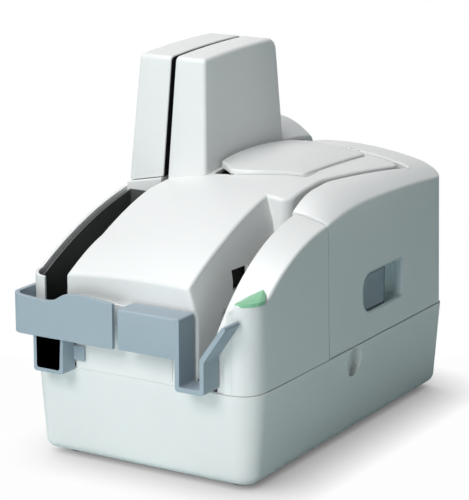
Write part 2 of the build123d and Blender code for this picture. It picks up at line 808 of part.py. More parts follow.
def make_rear_left_cover():
    """Humped cover behind the tower, with the fixed knuckles of the transport hinge"""
    span = (-half_width, hump_right)
    stations = (left_cover_rear, 105, 125, half_depth + 1)
    front = left_cover_rear + shut_line
    with BuildPart() as inner:
        add(body_prism(wall, seam_height, beyond, upper_taper))
        span_box((-aside, span[1] - wall), (front + wall, beyond), (0, beyond), Mode.INTERSECT)
        add(lofted(stations, lambda x, y: hump(x, y) - wall, span), mode=Mode.INTERSECT)
    with BuildPart() as rear_left_cover:
        add(body_prism(0, seam_height, beyond, upper_taper))
        span_box(span, (front, beyond), (0, beyond), Mode.INTERSECT)
        add(lofted(stations, hump, span), mode=Mode.INTERSECT)
        add(inner.part, mode=Mode.SUBTRACT)
        add(body_prism(wall, seam_height, skirt_low, upper_taper), mode=Mode.SUBTRACT)
        for level in hinge_levels:
            low = level - hinge_knuckle - shut_line
            rod(hinge_x, hinge_y, (low, level - shut_line), hinge_barrel_radius)
            span_box((hump_right - 1, hinge_x), (hinge_y - 1.3, hinge_y + 1.3),
                     (low, level - shut_line))
            rod(hinge_x, hinge_y, (low - 1, level + 1), hinge_pin_radius + running, Mode.SUBTRACT)
    save(rear_left_cover, "rear_left_cover")


def make_pocket_liner():
    """Dark liner of the exit pocket: floor, outer lining, inner lining and rear wall"""
    knee, middle, top = left_wall_top
    left = -half_width + wall
    right = nose_left - seat_gap
    lower = 2.0
    with BuildPart() as lining:
        with BuildSketch(Plane.YZ.offset(left)):
            with BuildLine():
                Polyline((liner_front, chassis_top), (liner_front, knee[1] - 4 - lower),
                         (knee[0], knee[1] - lower))
                ThreePointArc((knee[0], knee[1] - lower), (middle[0], middle[1] - lower),
                              (exit_y - seat_gap, top[1] - lower))
                Polyline((exit_y - seat_gap, top[1] - lower), (exit_y - seat_gap, chassis_top),
                         (liner_front, chassis_top))
            make_face()
        extrude(amount=exit_wall)
    with BuildPart() as pocket_liner:
        add(lining.part)
        span_box((left, right), (liner_front, exit_y - seat_gap), (chassis_top, path_floor_top))
        span_box((right - exit_wall, right), (liner_front, exit_y - 18), (chassis_top, 112))
        span_box((left, right), (exit_y - seat_gap - exit_wall, exit_y - seat_gap),
                 (chassis_top, top[1] - lower))
        add(body_prism(wall + seat_gap, seam_height, beyond, 0), mode=Mode.INTERSECT)
        rod(-corner_x, -corner_y, (chassis_top - 1, chassis_top + screw_head_height + seat_gap),
            screw_head_radius + seat_gap, Mode.SUBTRACT)
    save(pocket_liner, "pocket_liner")


# ---- tower ----
def tower_envelope(inset):
    """Tower's outline from the side, drawn in by inset"""
    front, rear = tower_front + inset, tower_rear - inset
    low = 100.0
    top_y = (tower_front + tower_rear) / 2
    with BuildPart() as envelope:
        with BuildSketch(Plane.YZ.offset(-aside)) as outline:
            with BuildLine():
                start = (front + tower_lean_front, tower_top_front - inset)
                end = (rear - tower_lean_rear, tower_top_rear - inset)
                ThreePointArc(start, (top_y, tower_top_middle - inset), end)
                Polyline(end, (rear, tower_base), (rear, low), (front, low), (front, tower_base),
                         start)
            make_face()
            round_corner(outline, start, tower_front_round - inset)
            round_corner(outline, end, tower_rear_round - inset)
        extrude(amount=aside)
    return envelope.part


def tower_half(left_low, left_high, right_low, right_high, base, inset):
    """One half of the tower between two leaning sides"""
    with BuildPart() as half:
        add(front_prism(((left_low + inset, base[0]), (right_low - inset, base[1]),
                         (right_high - inset, 260), (left_high + inset, 260)), (-100, 150)))
        add(tower_envelope(inset), mode=Mode.INTERSECT)
    return half.part


def make_tower_outer():
    """Tower's outer half: a shell that swings out on its rear pin"""
    base = (tower_seat + seat_gap, tower_seat + seat_gap
            + left_cover_slope * (half_width + slot_low[0]))
    sides = (tower_left, tower_top_left, slot_low[0], slot_high[0])
    with BuildPart() as boss:
        rod(tower_pin_x, tower_pin_y, (tower_seat - 5, tower_seat + tower_pin_length), 4.5)
        add(tower_half(*sides, base, 0), mode=Mode.INTERSECT)
    with BuildPart() as tower_outer_cover:
        add(tower_half(*sides, base, 0))
        near = Vector(tower_left, tower_front, (tower_seat + tower_top_middle) / 2)
        upright = tower_outer_cover.edges().sort_by_distance(near)[0]
        fillet(upright, tower_edge_round)
        add(tower_half(*sides, (base[0] - 5, base[1] - 5), tower_wall), mode=Mode.SUBTRACT)
        add(boss.part)
        rod(tower_pin_x, tower_pin_y, (100, tower_seat + tower_pin_length + 0.5),
            tower_pin_radius + running, Mode.SUBTRACT)
    save(tower_outer_cover, "tower_outer_cover")


def make_tower_inner():
    """Tower's inner half, seated on the deck"""
    sides = (slot_low[1], slot_high[1], tower_right, tower_top_right)
    with BuildPart() as tower_inner_cover:
        add(tower_half(*sides, (140, 140), 0))
        add(tower_half(*sides, (130, 130), tower_wall), mode=Mode.SUBTRACT)
        add(dome_block(0.05), mode=Mode.SUBTRACT)
    save(tower_inner_cover, "tower_inner_cover")


def make_tower_pin():
    """Upright pin of the tower's outer half"""
    with BuildPart() as tower_hinge_pin:
        rod(tower_pin_x, tower_pin_y, (148, tower_seat + tower_pin_length - 1), tower_pin_radius)
    save(tower_hinge_pin, "tower_hinge_pin")


# ---- front guides and stop gate ----
def make_front_guide():
    """Bar across the nose and the U of the feed guide with its flared leg"""
    back = -half_depth - seat_gap
    low, right = feed_guide_low, feed_guide[1]
    flare = ((right - guide_plate, low), (right, low), (right, flare_height), flare_tip,
             (flare_tip[0] - guide_plate, flare_tip[1] + 0.8),
             (right - guide_plate, flare_height + 1.5))
    with BuildPart() as front_guide:
        span_box((bar_left, feed_guide[0] + guide_plate), (guide_front, guide_front + guide_plate),
                 (bar_low, bar_high))
        span_box((bar_left, feed_guide[0] + guide_plate), (guide_front, back),
                 (bar_high - guide_plate, bar_high))
        span_box((feed_guide[0], feed_guide[0] + guide_plate), (guide_front, back), (low, bar_high))
        span_box((feed_guide[0], right), (guide_front, back), (low, low + guide_plate))
        add(front_prism(flare, (guide_front, back)))
    save(front_guide, "front_guide")


def make_exit_guide():
    """U of the exit guide, with its fixing tab on the front panel"""
    back = -half_depth - seat_gap
    left, right = exit_guide
    with BuildPart() as exit_guide_frame:
        for x in (left, right - guide_plate):
            span_box((x, x + guide_plate), (guide_front + guide_plate + gate_clear, back),
                     (exit_guide_low, exit_guide_high))
        span_box((left, right), (guide_front + guide_plate + gate_clear, back),
                 (exit_guide_low, exit_guide_low + guide_plate))
        span_box((right - 1, panel_left + 8), (back - 2.0, back), (66.0, 76.5))
    save(exit_guide_frame, "exit_guide_frame")


def make_stop_gate():
    """Strap that closes the exit pocket: it swings out on a pin beside the left wall"""
    low, high = gate_ears[0] + 2.5 + shut_line, gate_ears[1] - shut_line
    end = gate_pin_y - gate_barrel_radius - 1.0
    with BuildPart() as stop_gate:
        with BuildSketch(Plane.XY.offset(gate_low)):
            with BuildLine():
                FilletPolyline((gate_right, guide_front), (gate_outer, guide_front),
                               (gate_outer, end), radius=gate_round)
                FilletPolyline((gate_right, guide_front + guide_plate),
                               (gate_outer + guide_plate, guide_front + guide_plate),
                               (gate_outer + guide_plate, end), radius=gate_round - guide_plate)
                Line((gate_right, guide_front), (gate_right, guide_front + guide_plate))
                Line((gate_outer, end), (gate_outer + guide_plate, end))
            make_face()
        extrude(amount=60)
        add(front_prism(gate_outline, (guide_front - 10, 0)), mode=Mode.INTERSECT)
        span_box((gate_outer, gate_pin_x), (end - 1, gate_pin_y), (low, high))
        rod(gate_pin_x, gate_pin_y, (low, high), gate_barrel_radius)
        rod(gate_pin_x, gate_pin_y, (low - 1, high + 1), gate_pin_radius + running, Mode.SUBTRACT)
    save(stop_gate, "stop_gate")


def make_gate_pin():
    """Upright pin of the stop gate"""
    with BuildPart() as gate_hinge_pin:
        rod(gate_pin_x, gate_pin_y, (gate_ears[0], gate_ears[1] + 2.5), gate_pin_radius)
    save(gate_hinge_pin, "gate_hinge_pin")


def make_front_panel():
    """White panel between the two guides, with one fine upright line"""
    with BuildPart() as front_panel:
        span_box((panel_left, panel_right), (-half_depth, nose_front - seat_gap),
                 (seam_height, bar_high - guide_plate))
        span_box((panel_line - 0.3, panel_line + 0.3), (-half_depth, -half_depth + 0.8),
                 (chassis_top, bar_low + 6), Mode.SUBTRACT)
    save(front_panel, "front_panel")


# ---- paper path ----
def turn_band(inner, outer, low, high, start):
    """U-shaped band of the paper path: two straight legs and a half turn"""
    with BuildPart() as band:
        with BuildSketch(Plane.XY.offset(low)):
            with Locations((turn_x, turn_y)):
                Circle(outer)
            with Locations((turn_x, (start + turn_y) / 2)):
                Rectangle(2 * outer, turn_y - start)
            with Locations((turn_x, turn_y)):
                Circle(inner, mode=Mode.SUBTRACT)
            with Locations((turn_x, (start + turn_y) / 2)):
                Rectangle(2 * inner, turn_y - start, mode=Mode.SUBTRACT)
        extrude(amount=high - low)
    return band.part


def make_inner_guide():
    """Inner wall of the paper path, with windows for rollers, sensor and magnetic head"""
    face = inner_turn
    with BuildPart() as inner_path_guide:
        add(turn_band(face - guide_wall, face, chassis_top, guide_top, deck_front + 10.5))
        for level in roller_levels:
            span_box((-aside, aside), (drive_y - 8, drive_y + 8), (level - 1, level + roller_width + 1),
                     Mode.SUBTRACT)
        span_box((0, aside), (sensor_y - 4, sensor_y + 4), (path_floor_top, guide_top - 4),
                 Mode.SUBTRACT)
        span_box((0, aside), (head_y - 4.2, head_y + 4.2), (head_z - 6.2, head_z + 6.2),
                 Mode.SUBTRACT)
    save(inner_path_guide, "inner_path_guide")


def pinch_ears(side):
    """Two ears that carry a pinch roller's pin, outside the path on the given side"""
    face = turn_x + side * (outer_turn + guide_wall)
    pin_x = turn_x + side * pinch_offset
    spans = (min(face, pin_x + side * 4), max(face, pin_x + side * 4))
    for z in pinch_ear_levels:
        span_box(spans, (drive_y - 4, drive_y + 4), (z, z + 2.5))
        rod(pin_x, drive_y, (z - 1, z + 4), pinch_pin_radius, Mode.SUBTRACT)


def make_outer_guide():
    """Outer wall of the right leg, carried by ribs inside the transport cover"""
    start = deck_front + 0.5
    with BuildPart() as outer_path_guide:
        add(turn_band(outer_turn, outer_turn + guide_wall, chassis_top + 0.5, guide_top, start))
        span_box((turn_x + seat_gap, beyond), (-beyond, beyond), (0, beyond), Mode.INTERSECT)
        for y in (-30.0, 52.0):
            for z in rib_levels:
                span_box((turn_x + outer_turn + guide_wall - 6, side_x(z + 2, wall)), (y, y + 3),
                         (z, z + 2.5))
        add(turn_band(10, outer_turn, chassis_top, guide_top, start - 10), mode=Mode.SUBTRACT)
        pinch_ears(1)
        span_box((50, 62), (drive_y - 6.5, drive_y + 6.5), pinch_window, Mode.SUBTRACT)
        span_box((50, 62), (outer_sensor_y - 4, outer_sensor_y + 4),
                 (path_floor_top, guide_top - 4), Mode.SUBTRACT)
    save(outer_path_guide, "outer_path_guide")


def make_left_guide():
    """Outer wall of the rear turn and the left leg"""
    with BuildPart() as left_path_guide:
        add(turn_band(outer_turn, outer_turn + guide_wall, chassis_top, guide_top,
                      exit_y + wall + shut_line))
        span_box((-beyond, turn_x - seat_gap), (-beyond, beyond), (0, beyond), Mode.INTERSECT)
        pinch_ears(-1)
        span_box((-64, -50), (drive_y - 6.5, drive_y + 6.5), pinch_window, Mode.SUBTRACT)
    save(left_path_guide, "left_path_guide")


def make_path_floor():
    """Floor of the feed tray and the strip that follows the paper path"""
    with BuildPart() as path_floor:
        add(turn_band(inner_turn + 0.1, outer_turn - 0.1, chassis_top, path_floor_top,
                      exit_y + 0.3))
        span_box((path_right + 0.1, path_right + path_gap - 0.1), (deck_front - seat_gap, 0),
                 (chassis_top, path_floor_top))
        span_box((nose_right + seat_gap, housing_inner - seat_gap),
                 (-half_depth + wall + shut_line, deck_front - seat_gap),
                 (chassis_top, path_floor_top))
    save(path_floor, "path_floor")


def make_bridge():
    """Plate between the inner guide's legs: upper bearings and seat of the cartridge holder"""
    left = turn_x - inner_turn + guide_wall + 0.1
    right = turn_x + inner_turn - guide_wall - 0.1
    with BuildPart() as roller_bridge:
        span_box((left, right), (sensor_y + sensor_width / 2 + shut_line, turn_y),
                 (bridge_height, bridge_height + wall))
        for x in drive_xs:
            rod(x, drive_y, (100, beyond), shaft_radius + running, Mode.SUBTRACT)
    save(roller_bridge, "roller_bridge")


# ---- rollers and drive ----
def make_roller_set(name, x, y, low, high):
    """Upright shaft and two rubber rollers on it"""
    with BuildPart() as shaft:
        rod(x, y, (low, high), shaft_radius)
    save(shaft, f"{name}_shaft")
    with BuildPart() as rollers:
        for level in roller_levels if name != "pick" else pick_levels:
            rod(x, y, (level, level + roller_width), roller_radius)
            rod(x, y, (level - 1, level + roller_width + 1), shaft_radius, Mode.SUBTRACT)
    save(rollers, f"{name}_rollers")


def make_pulley(name, x, y, shaft=None):
    """Flanged belt pulley below the chassis, with a shaft of its own or bored for one"""
    middle = pulley_low + pulley_width / 2
    with BuildPart() as pulley:
        rod(x, y, (pulley_low, pulley_low + pulley_width), pulley_radius)
        for z in (pulley_low, pulley_low + pulley_width - 0.8):
            rod(x, y, (z, z + 0.8), pulley_radius + 1.8)
        if shaft:
            rod(x, y, (middle, shaft), shaft_radius)
        else:
            rod(x, y, (0, 100), shaft_radius, Mode.SUBTRACT)
    save(pulley, name)


def make_belt():
    """Belt round the three pulleys"""
    centres = ((main_motor_x, motor_y), (drive_xs[0], drive_y), (drive_xs[1], drive_y))
    low = pulley_low + (pulley_width - belt_width) / 2
    with BuildPart() as drive_belt:
        with BuildSketch(Plane.XY.offset(low)):
            with Locations(*centres):
                Circle(pulley_radius + 0.1 + belt_thickness)
            make_hull()
        extrude(amount=belt_width)
        with BuildSketch(Plane.XY.offset(low)):
            with Locations(*centres):
                Circle(pulley_radius + 0.1)
            make_hull()
        extrude(amount=belt_width, mode=Mode.SUBTRACT)
    save(drive_belt, "drive_belt")


def make_motors():
    """Transport motor on the chassis and feed motor under it"""
    with BuildPart() as main_motor:
        rod(main_motor_x, motor_y, (chassis_top, chassis_top + motor_height), motor_radius)
        fillet(main_motor.edges().group_by(Axis.Z)[-1], 2.0)
        rod(main_motor_x, motor_y, (chassis_top - 1, chassis_top + 12), shaft_radius + running,
            Mode.SUBTRACT)
    save(main_motor, "main_motor")
    with BuildPart() as feed_motor:
        rod(pick_x, pick_y, (seam_height - motor_height, seam_height), 10.5)
        fillet(feed_motor.edges().group_by(Axis.Z)[0], 2.0)
        rod(pick_x, pick_y, (seam_height - 11, seam_height + 1), shaft_radius + running,
            Mode.SUBTRACT)
    save(feed_motor, "feed_motor")


def make_bushes():
    """Bearing bushes in the chassis for the three roller shafts"""
    with BuildPart() as shaft_bushes:
        for x, y in shaft_places:
            rod(x, y, (seam_height, chassis_top + 1.0), bush_radius)
            rod(x, y, (0, 100), shaft_radius + running, Mode.SUBTRACT)
    save(shaft_bushes, "shaft_bushes")


def make_pinch_set(name, side):
    """Pinch rollers across the path from the driven ones, joined by a thin hub"""
    x = turn_x + side * pinch_offset
    with BuildPart() as rollers:
        for level in roller_levels:
            rod(x, drive_y, (level, level + roller_width), pinch_radius)
            rod(x, drive_y, (level - 1, level + roller_width + 1), pinch_pin_radius + running,
                Mode.SUBTRACT)
        low = roller_levels[0] + roller_width
        rod(x, drive_y, (low, roller_levels[1]), pinch_pin_radius + 1.2)
        rod(x, drive_y, (low - 1, roller_levels[1] + 1), pinch_pin_radius + running, Mode.SUBTRACT)
    save(rollers, f"{name}_pinch_rollers")


def make_left_pinch_pin():
    """Fixed pin of the left pinch rollers"""
    with BuildPart() as left_pinch_pin:
        rod(turn_x - pinch_offset, drive_y, (pinch_ear_levels[0], pinch_ear_levels[1] + 2.5),
            pinch_pin_radius)
    save(left_pinch_pin, "left_pinch_pin")


# ---- sensors, boards and cartridge ----
def make_sensors():
    """Image sensor bars on both sides of the right leg, their glasses and the magnetic head"""
    low, high = path_floor_top, guide_top - 4
    inner_back = turn_x + inner_turn - guide_wall
    outer_back = turn_x + outer_turn + guide_wall
    with BuildPart() as inner_image_sensor:
        span_box((inner_back - sensor_thickness, inner_back),
                 (sensor_y - sensor_width / 2, sensor_y + sensor_width / 2),
                 (chassis_top, high + 3))
    save(inner_image_sensor, "inner_image_sensor")
    with BuildPart() as inner_sensor_glass:
        span_box((inner_back, inner_back + guide_wall - 0.2), (sensor_y - 3.9, sensor_y + 3.9),
                 (low + 0.1, high - 0.1))
    save(inner_sensor_glass, "inner_sensor_glass")
    with BuildPart() as outer_image_sensor:
        span_box((outer_back, outer_back + sensor_thickness),
                 (outer_sensor_y - sensor_width / 2, outer_sensor_y + sensor_width / 2),
                 (low, high + 3))
    save(outer_image_sensor, "outer_image_sensor")
    with BuildPart() as outer_sensor_glass:
        span_box((outer_back - guide_wall + 0.2, outer_back),
                 (outer_sensor_y - 3.9, outer_sensor_y + 3.9), (low + 0.1, high - 0.1))
    save(outer_sensor_glass, "outer_sensor_glass")
    with BuildPart() as magnetic_head:
        span_box((inner_back - 10, inner_back + guide_wall - 1), (head_y - 4, head_y + 4),
                 (head_z - 6, head_z + 6))
        with Locations((inner_back + guide_wall - 4, head_y, head_z)):
            Cylinder(4.0, 12.0)
        span_box((inner_back - 10, inner_back), (head_y - 6, head_y + 6),
                 (chassis_top, head_z + 6))
    save(magnetic_head, "magnetic_head")


def make_board():
    """Main circuit board on four standoffs"""
    left, right, front, rear = board
    corners = ((left + 5, front + 5), (right - 5, front + 5), (left + 5, rear - 5),
               (right - 5, rear - 5))
    with BuildPart() as main_board:
        span_box((left, right), (front, rear), (board_height, board_height + board_thickness))
        for x, y, width, depth, height in ((-40, -50, 26, 26, 3), (0, -60, 16, 30, 4),
                                           (-30, 20, 40, 14, 8), (10, 30, 18, 18, 10)):
            span_box((x - width / 2, x + width / 2), (y - depth / 2, y + depth / 2),
                     (board_height + board_thickness, board_height + board_thickness + height))
        for x, y in corners:
            rod(x, y, (board_height - 1, board_height + 5), 1.6, Mode.SUBTRACT)
    save(main_board, "main_board")
    with BuildPart() as board_standoffs:
        for x, y in corners:
            rod(x, y, (floor_top, board_height), 3.0)
            rod(x, y, (board_height, board_height + board_thickness + 1.2), 1.5)
    save(board_standoffs, "board_standoffs")


def make_cartridge():
    """Endorser ink cartridge in its open-topped holder on the bridge"""
    left, right, front, rear = bay
    low = bridge_height + wall
    high = low + holder_height
    with BuildPart() as cartridge_holder:
        span_box((left + 2, right - 2), (front + 2, rear - 2), (low, high))
        span_box((left + 3.5, right - 3.5), (front + 3.5, rear - 3.5), (low + 1.5, high + 5),
                 Mode.SUBTRACT)
    save(cartridge_holder, "cartridge_holder")
    with BuildPart() as ink_cartridge:
        span_box((left + 10, right - 10), (front + 8, rear - 20), (low + 1.5, high - 2))
        fillet(ink_cartridge.edges().filter_by(Axis.Z), 3.0)
        span_box((left + 16, right - 16), (front + 26, front + 30), (high - 2, high + 2))
    save(ink_cartridge, "ink_cartridge")


def make_flipper():
    """Sprung flipper that presses the cheques against the pick rollers, and its pin"""
    pin = (nose_right + 1.9, flipper_pin_y)
    low = path_floor_top + 0.5
    with BuildPart() as feed_flipper:
        span_box((nose_right + 1.0, nose_right + 2.6), (flipper_pin_y, flipper_rear), (low, 104))
        rod(pin[0], pin[1], (low, 104), 1.5)
        rod(pin[0], pin[1], (low - 1, 110), 0.8 + running, Mode.SUBTRACT)
        with Locations((nose_right + 1.8, flipper_rear, (low + 104) / 2)):
            Cylinder(0.8, 104 - low)
    save(feed_flipper, "feed_flipper")
    with BuildPart() as flipper_pin:
        rod(pin[0], pin[1], (path_floor_top, 106), 0.8)
        span_box((nose_right, pin[0]), (pin[1] - 1.2, pin[1] + 1.2), (104.4, 106))
    save(flipper_pin, "flipper_pin")


# ---- rear sockets and switch ----
def rear_face(z):
    """Y of the lower casing's rear face at a height"""
    return half_depth - (seam_height - z) * sin(radians(lower_taper))


def make_rear_fittings():
    """Power inlet, data socket, and the power switch's frame and rocker"""
    face = rear_face(socket_z)
    with BuildPart() as power_inlet:
        with Locations(Location((inlet_x, face, socket_z), (90, 0, 0))):
            Cylinder(inlet_body, 12, align=(Align.CENTER, Align.CENTER, Align.MIN))
        span_box((inlet_x - 9, inlet_x + 9), (face - 12, face - wall - 1.0),
                 (socket_z - 9, socket_z + 9))
        with Locations(Location((inlet_x, face + 0.01, socket_z), (90, 0, 0))):
            Cylinder(inlet_radius, inlet_depth, mode=Mode.SUBTRACT,
                     align=(Align.CENTER, Align.CENTER, Align.MIN))
    save(power_inlet, "power_inlet")
    width, height = usb_size
    with BuildPart() as data_socket:
        span_box((usb_x - width / 2, usb_x + width / 2), (face - 14, face - 0.3),
                 (socket_z - height / 2, socket_z + height / 2))
        span_box((usb_x - width / 2 + 1, usb_x + width / 2 - 1), (face - 11, face + 1),
                 (socket_z - height / 2 + 1, socket_z + height / 2 - 1), Mode.SUBTRACT)
        span_box((usb_x - 2.8, usb_x + 2.8), (face - 12, face - 5.2), (socket_z - 1.6, socket_z + 1.6))
    save(data_socket, "data_socket")
    width, height = switch_size
    flange = rear_face(socket_z + height / 2 + switch_rim) + 0.02
    with BuildPart() as switch_frame:
        span_box((switch_x - width / 2, switch_x + width / 2), (face - 14, flange),
                 (socket_z - height / 2, socket_z + height / 2))
        span_box((switch_x - width / 2 - switch_rim, switch_x + width / 2 + switch_rim),
                 (flange, half_depth - 0.2),
                 (socket_z - height / 2 - switch_rim, socket_z + height / 2 + switch_rim))
        span_box((switch_x - width / 2 + switch_rim, switch_x + width / 2 - switch_rim),
                 (face - 9, face + 5),
                 (socket_z - height / 2 + switch_rim, socket_z + height / 2 - switch_rim),
                 Mode.SUBTRACT)
    save(switch_frame, "switch_frame")
    with BuildPart() as power_rocker:
        with BuildSketch(Plane.YZ.offset(switch_x - width / 2 + 1.9)):
            with BuildLine():
                reach = height / 2 - 2.6
                ThreePointArc((face + 1.4, socket_z - reach), (face + 0.2, socket_z),
                              (face + 1.4, socket_z + reach))
                Polyline((face + 1.4, socket_z + reach), (face - 3.5, socket_z + reach - 1.2),
                         (face - 3.5, socket_z - reach + 1.2), (face + 1.4, socket_z - reach))
            make_face()
        extrude(amount=width - 3.8)
        with Locations(Location((switch_x, face - 3, socket_z), (0, 90, 0))):
            Cylinder(1.5, width - 3.3)
    save(power_rocker, "power_rocker")


def main():
    """Build every piece and write it"""
    os.makedirs("parts", exist_ok=True)
    make_lower_casing()
    make_feet()
    make_chassis()
    make_chassis_screws()
    make_front_housing()
    make_status_lens()
    make_centre_cover()
    make_cartridge_lid()
    make_lid_pin()
    make_transport_cover()
    make_latch_pad()
    make_door_pins()
    make_cover_pins()
    make_left_cover()
    make_rear_left_cover()
    make_pocket_liner()
    make_tower_outer()
    make_tower_inner()
    make_tower_pin()
    make_front_guide()
    make_exit_guide()
    make_stop_gate()
    make_gate_pin()
    make_front_panel()
    make_inner_guide()
    make_outer_guide()
    make_left_guide()
    make_path_floor()
    make_bridge()
    make_roller_set("right_drive", drive_xs[0], drive_y, pulley_low, bridge_height + wall)
    make_roller_set("left_drive", drive_xs[1], drive_y, pulley_low, bridge_height + wall)
    make_roller_set("pick", pick_x, pick_y, seam_height - 10, pick_levels[-1] + roller_width + 4.5)
    make_pulley("right_pulley", drive_xs[0], drive_y)
    make_pulley("left_pulley", drive_xs[1], drive_y)
    make_pulley("motor_pulley", main_motor_x, motor_y, chassis_top + 11)
    make_belt()
    make_motors()
    make_bushes()
    make_pinch_set("right", 1)
    make_pinch_set("left", -1)
    make_left_pinch_pin()
    make_sensors()
    make_board()
    make_cartridge()
    make_flipper()
    make_rear_fittings()


main()
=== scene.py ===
"""A desktop cheque scanner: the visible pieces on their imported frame.

Sizes are in millimetres about the middle of the body's footprint and are put into the row's frame,
in metres, when a mesh is made. Every shape is a grid of points worked out with numpy.
"""

import json
import logging
import math
from dataclasses import dataclass
from enum import Enum
from typing import Callable, Dict, List, Optional, Sequence, Tuple

import bmesh
import bpy
import numpy as np
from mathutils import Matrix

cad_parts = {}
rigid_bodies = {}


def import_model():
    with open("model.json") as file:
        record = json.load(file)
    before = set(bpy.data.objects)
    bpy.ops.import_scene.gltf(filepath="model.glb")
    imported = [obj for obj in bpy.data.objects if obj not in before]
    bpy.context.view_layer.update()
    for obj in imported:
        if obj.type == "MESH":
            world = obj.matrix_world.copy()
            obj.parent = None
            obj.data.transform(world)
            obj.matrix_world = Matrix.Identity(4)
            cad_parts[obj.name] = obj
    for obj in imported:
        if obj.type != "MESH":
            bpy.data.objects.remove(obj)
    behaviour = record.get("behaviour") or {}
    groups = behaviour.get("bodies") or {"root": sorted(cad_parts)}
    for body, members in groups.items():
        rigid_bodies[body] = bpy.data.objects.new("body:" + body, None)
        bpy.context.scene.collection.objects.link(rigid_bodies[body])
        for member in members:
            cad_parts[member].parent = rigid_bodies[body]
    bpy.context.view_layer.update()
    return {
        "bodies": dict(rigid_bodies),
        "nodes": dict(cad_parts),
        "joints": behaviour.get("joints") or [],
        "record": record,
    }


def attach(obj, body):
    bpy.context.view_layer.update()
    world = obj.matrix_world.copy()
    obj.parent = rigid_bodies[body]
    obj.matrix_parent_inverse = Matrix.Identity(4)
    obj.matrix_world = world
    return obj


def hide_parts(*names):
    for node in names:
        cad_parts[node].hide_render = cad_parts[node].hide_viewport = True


LOG = logging.getLogger("cheque_scanner")
SHIFT = np.array((2.45, 9.35, 6.0))
MILLIMETRE = 0.001
BARE = 400.0
WHITE = (1.0, 1.0, 1.0)
WALL = 2.3
CRISP_ANGLE = 32.0
Field = Callable[[np.ndarray, np.ndarray], np.ndarray]


class Body(Enum):
    """Bodies of the mechanism that the pieces ride on."""

    BASE = "base"
    DOOR = "transport_door"
    LATCH = "latch"
    RIGHT_PINCH = "right_pinch"
    LEFT_PINCH = "left_pinch"
    RIGHT_DRIVE = "right_drive"
    LEFT_DRIVE = "left_drive"
    MOTOR = "motor_shaft"
    PICK = "pick"
    TOWER = "tower_door"
    LID = "lid"
    GATE = "gate"
    FLIPPER = "flipper"
    ROCKER = "rocker"


# ---- shader groups and finishes ----
def new_group(name: str, inputs: Sequence[Tuple[str, str, object]],
              outputs: Sequence[Tuple[str, str]]) -> bpy.types.NodeTree:
    """Start a shader group with named sockets.

    Args:
        name: the group's name.
        inputs: name, socket type and default of each input.
        outputs: name and socket type of each output.

    Returns:
        The group, with its input and output nodes.
    """
    group = bpy.data.node_groups.new(name, "ShaderNodeTree")
    for label, kind, default in inputs:
        socket = group.interface.new_socket(label, in_out="INPUT", socket_type=kind)
        socket.default_value = default
    for label, kind in outputs:
        group.interface.new_socket(label, in_out="OUTPUT", socket_type=kind)
    group.nodes.new("NodeGroupInput").name = "In"
    group.nodes.new("NodeGroupOutput").name = "Out"
    return group


def noise(nodes: bpy.types.Nodes, place: bpy.types.NodeSocket, scale: float,
          detail: float) -> bpy.types.Node:
    """Add a noise texture that reads a place.

    Args:
        nodes: the nodes of a group.
        place: the output with the coordinates.
        scale: the noise's scale.
        detail: how many finer octaves it has.

    Returns:
        The new node.
    """
    texture = nodes.new("ShaderNodeTexNoise")
    texture.inputs["Scale"].default_value = scale
    texture.inputs["Detail"].default_value = detail
    nodes.id_data.links.new(place, texture.inputs["Vector"])
    return texture


def maths(nodes: bpy.types.Nodes, operation: str, second: float = 0.5) -> bpy.types.Node:
    """Add a Math node with its operation and its second value.

    Args:
        nodes: the nodes of a tree.
        operation: what it works out.
        second: the value of its second input.

    Returns:
        The new node.
    """
    node = nodes.new("ShaderNodeMath")
    node.operation = operation
    node.inputs[1].default_value = second
    return node


def colour_mix(nodes: bpy.types.Nodes, first: Sequence[float],
               second: Sequence[float]) -> bpy.types.Node:
    """Add a Mix node between two colours.

    Args:
        nodes: the nodes of a tree.
        first: red, green and blue at 0.
        second: red, green and blue at 1.

    Returns:
        The new node.
    """
    node = nodes.new("ShaderNodeMix")
    node.data_type = "RGBA"
    node.inputs["A"].default_value = (*first, 1.0)
    node.inputs["B"].default_value = (*second, 1.0)
    return node


def grain_group() -> bpy.types.NodeTree:
    """Fine spark-eroded grain of a moulding: two sizes of noise raised as a bump.

    Returns:
        A group that puts out a normal.
    """
    found = bpy.data.node_groups.get("moulded_grain")
    if found:
        return found
    group = new_group("moulded_grain",
                      [("Scale", "NodeSocketFloat", 900.0), ("Depth", "NodeSocketFloat", 0.2)],
                      [("Normal", "NodeSocketVector")])
    nodes, links = group.nodes, group.links
    place = nodes.new("ShaderNodeTexCoord").outputs["Object"]
    fine = noise(nodes, place, 900.0, 2.0)
    broad = noise(nodes, place, 60.0, 1.0)
    part = maths(nodes, "MULTIPLY", 0.6)
    total = maths(nodes, "ADD")
    bump = nodes.new("ShaderNodeBump")
    bump.inputs["Distance"].default_value = 0.0001
    links.new(nodes["In"].outputs["Scale"], fine.inputs["Scale"])
    links.new(broad.outputs["Fac"], part.inputs[0])
    links.new(part.outputs[0], total.inputs[0])
    links.new(fine.outputs["Fac"], total.inputs[1])
    links.new(total.outputs[0], bump.inputs["Height"])
    links.new(nodes["In"].outputs["Depth"], bump.inputs["Strength"])
    links.new(bump.outputs["Normal"], nodes["Out"].inputs["Normal"])
    return group


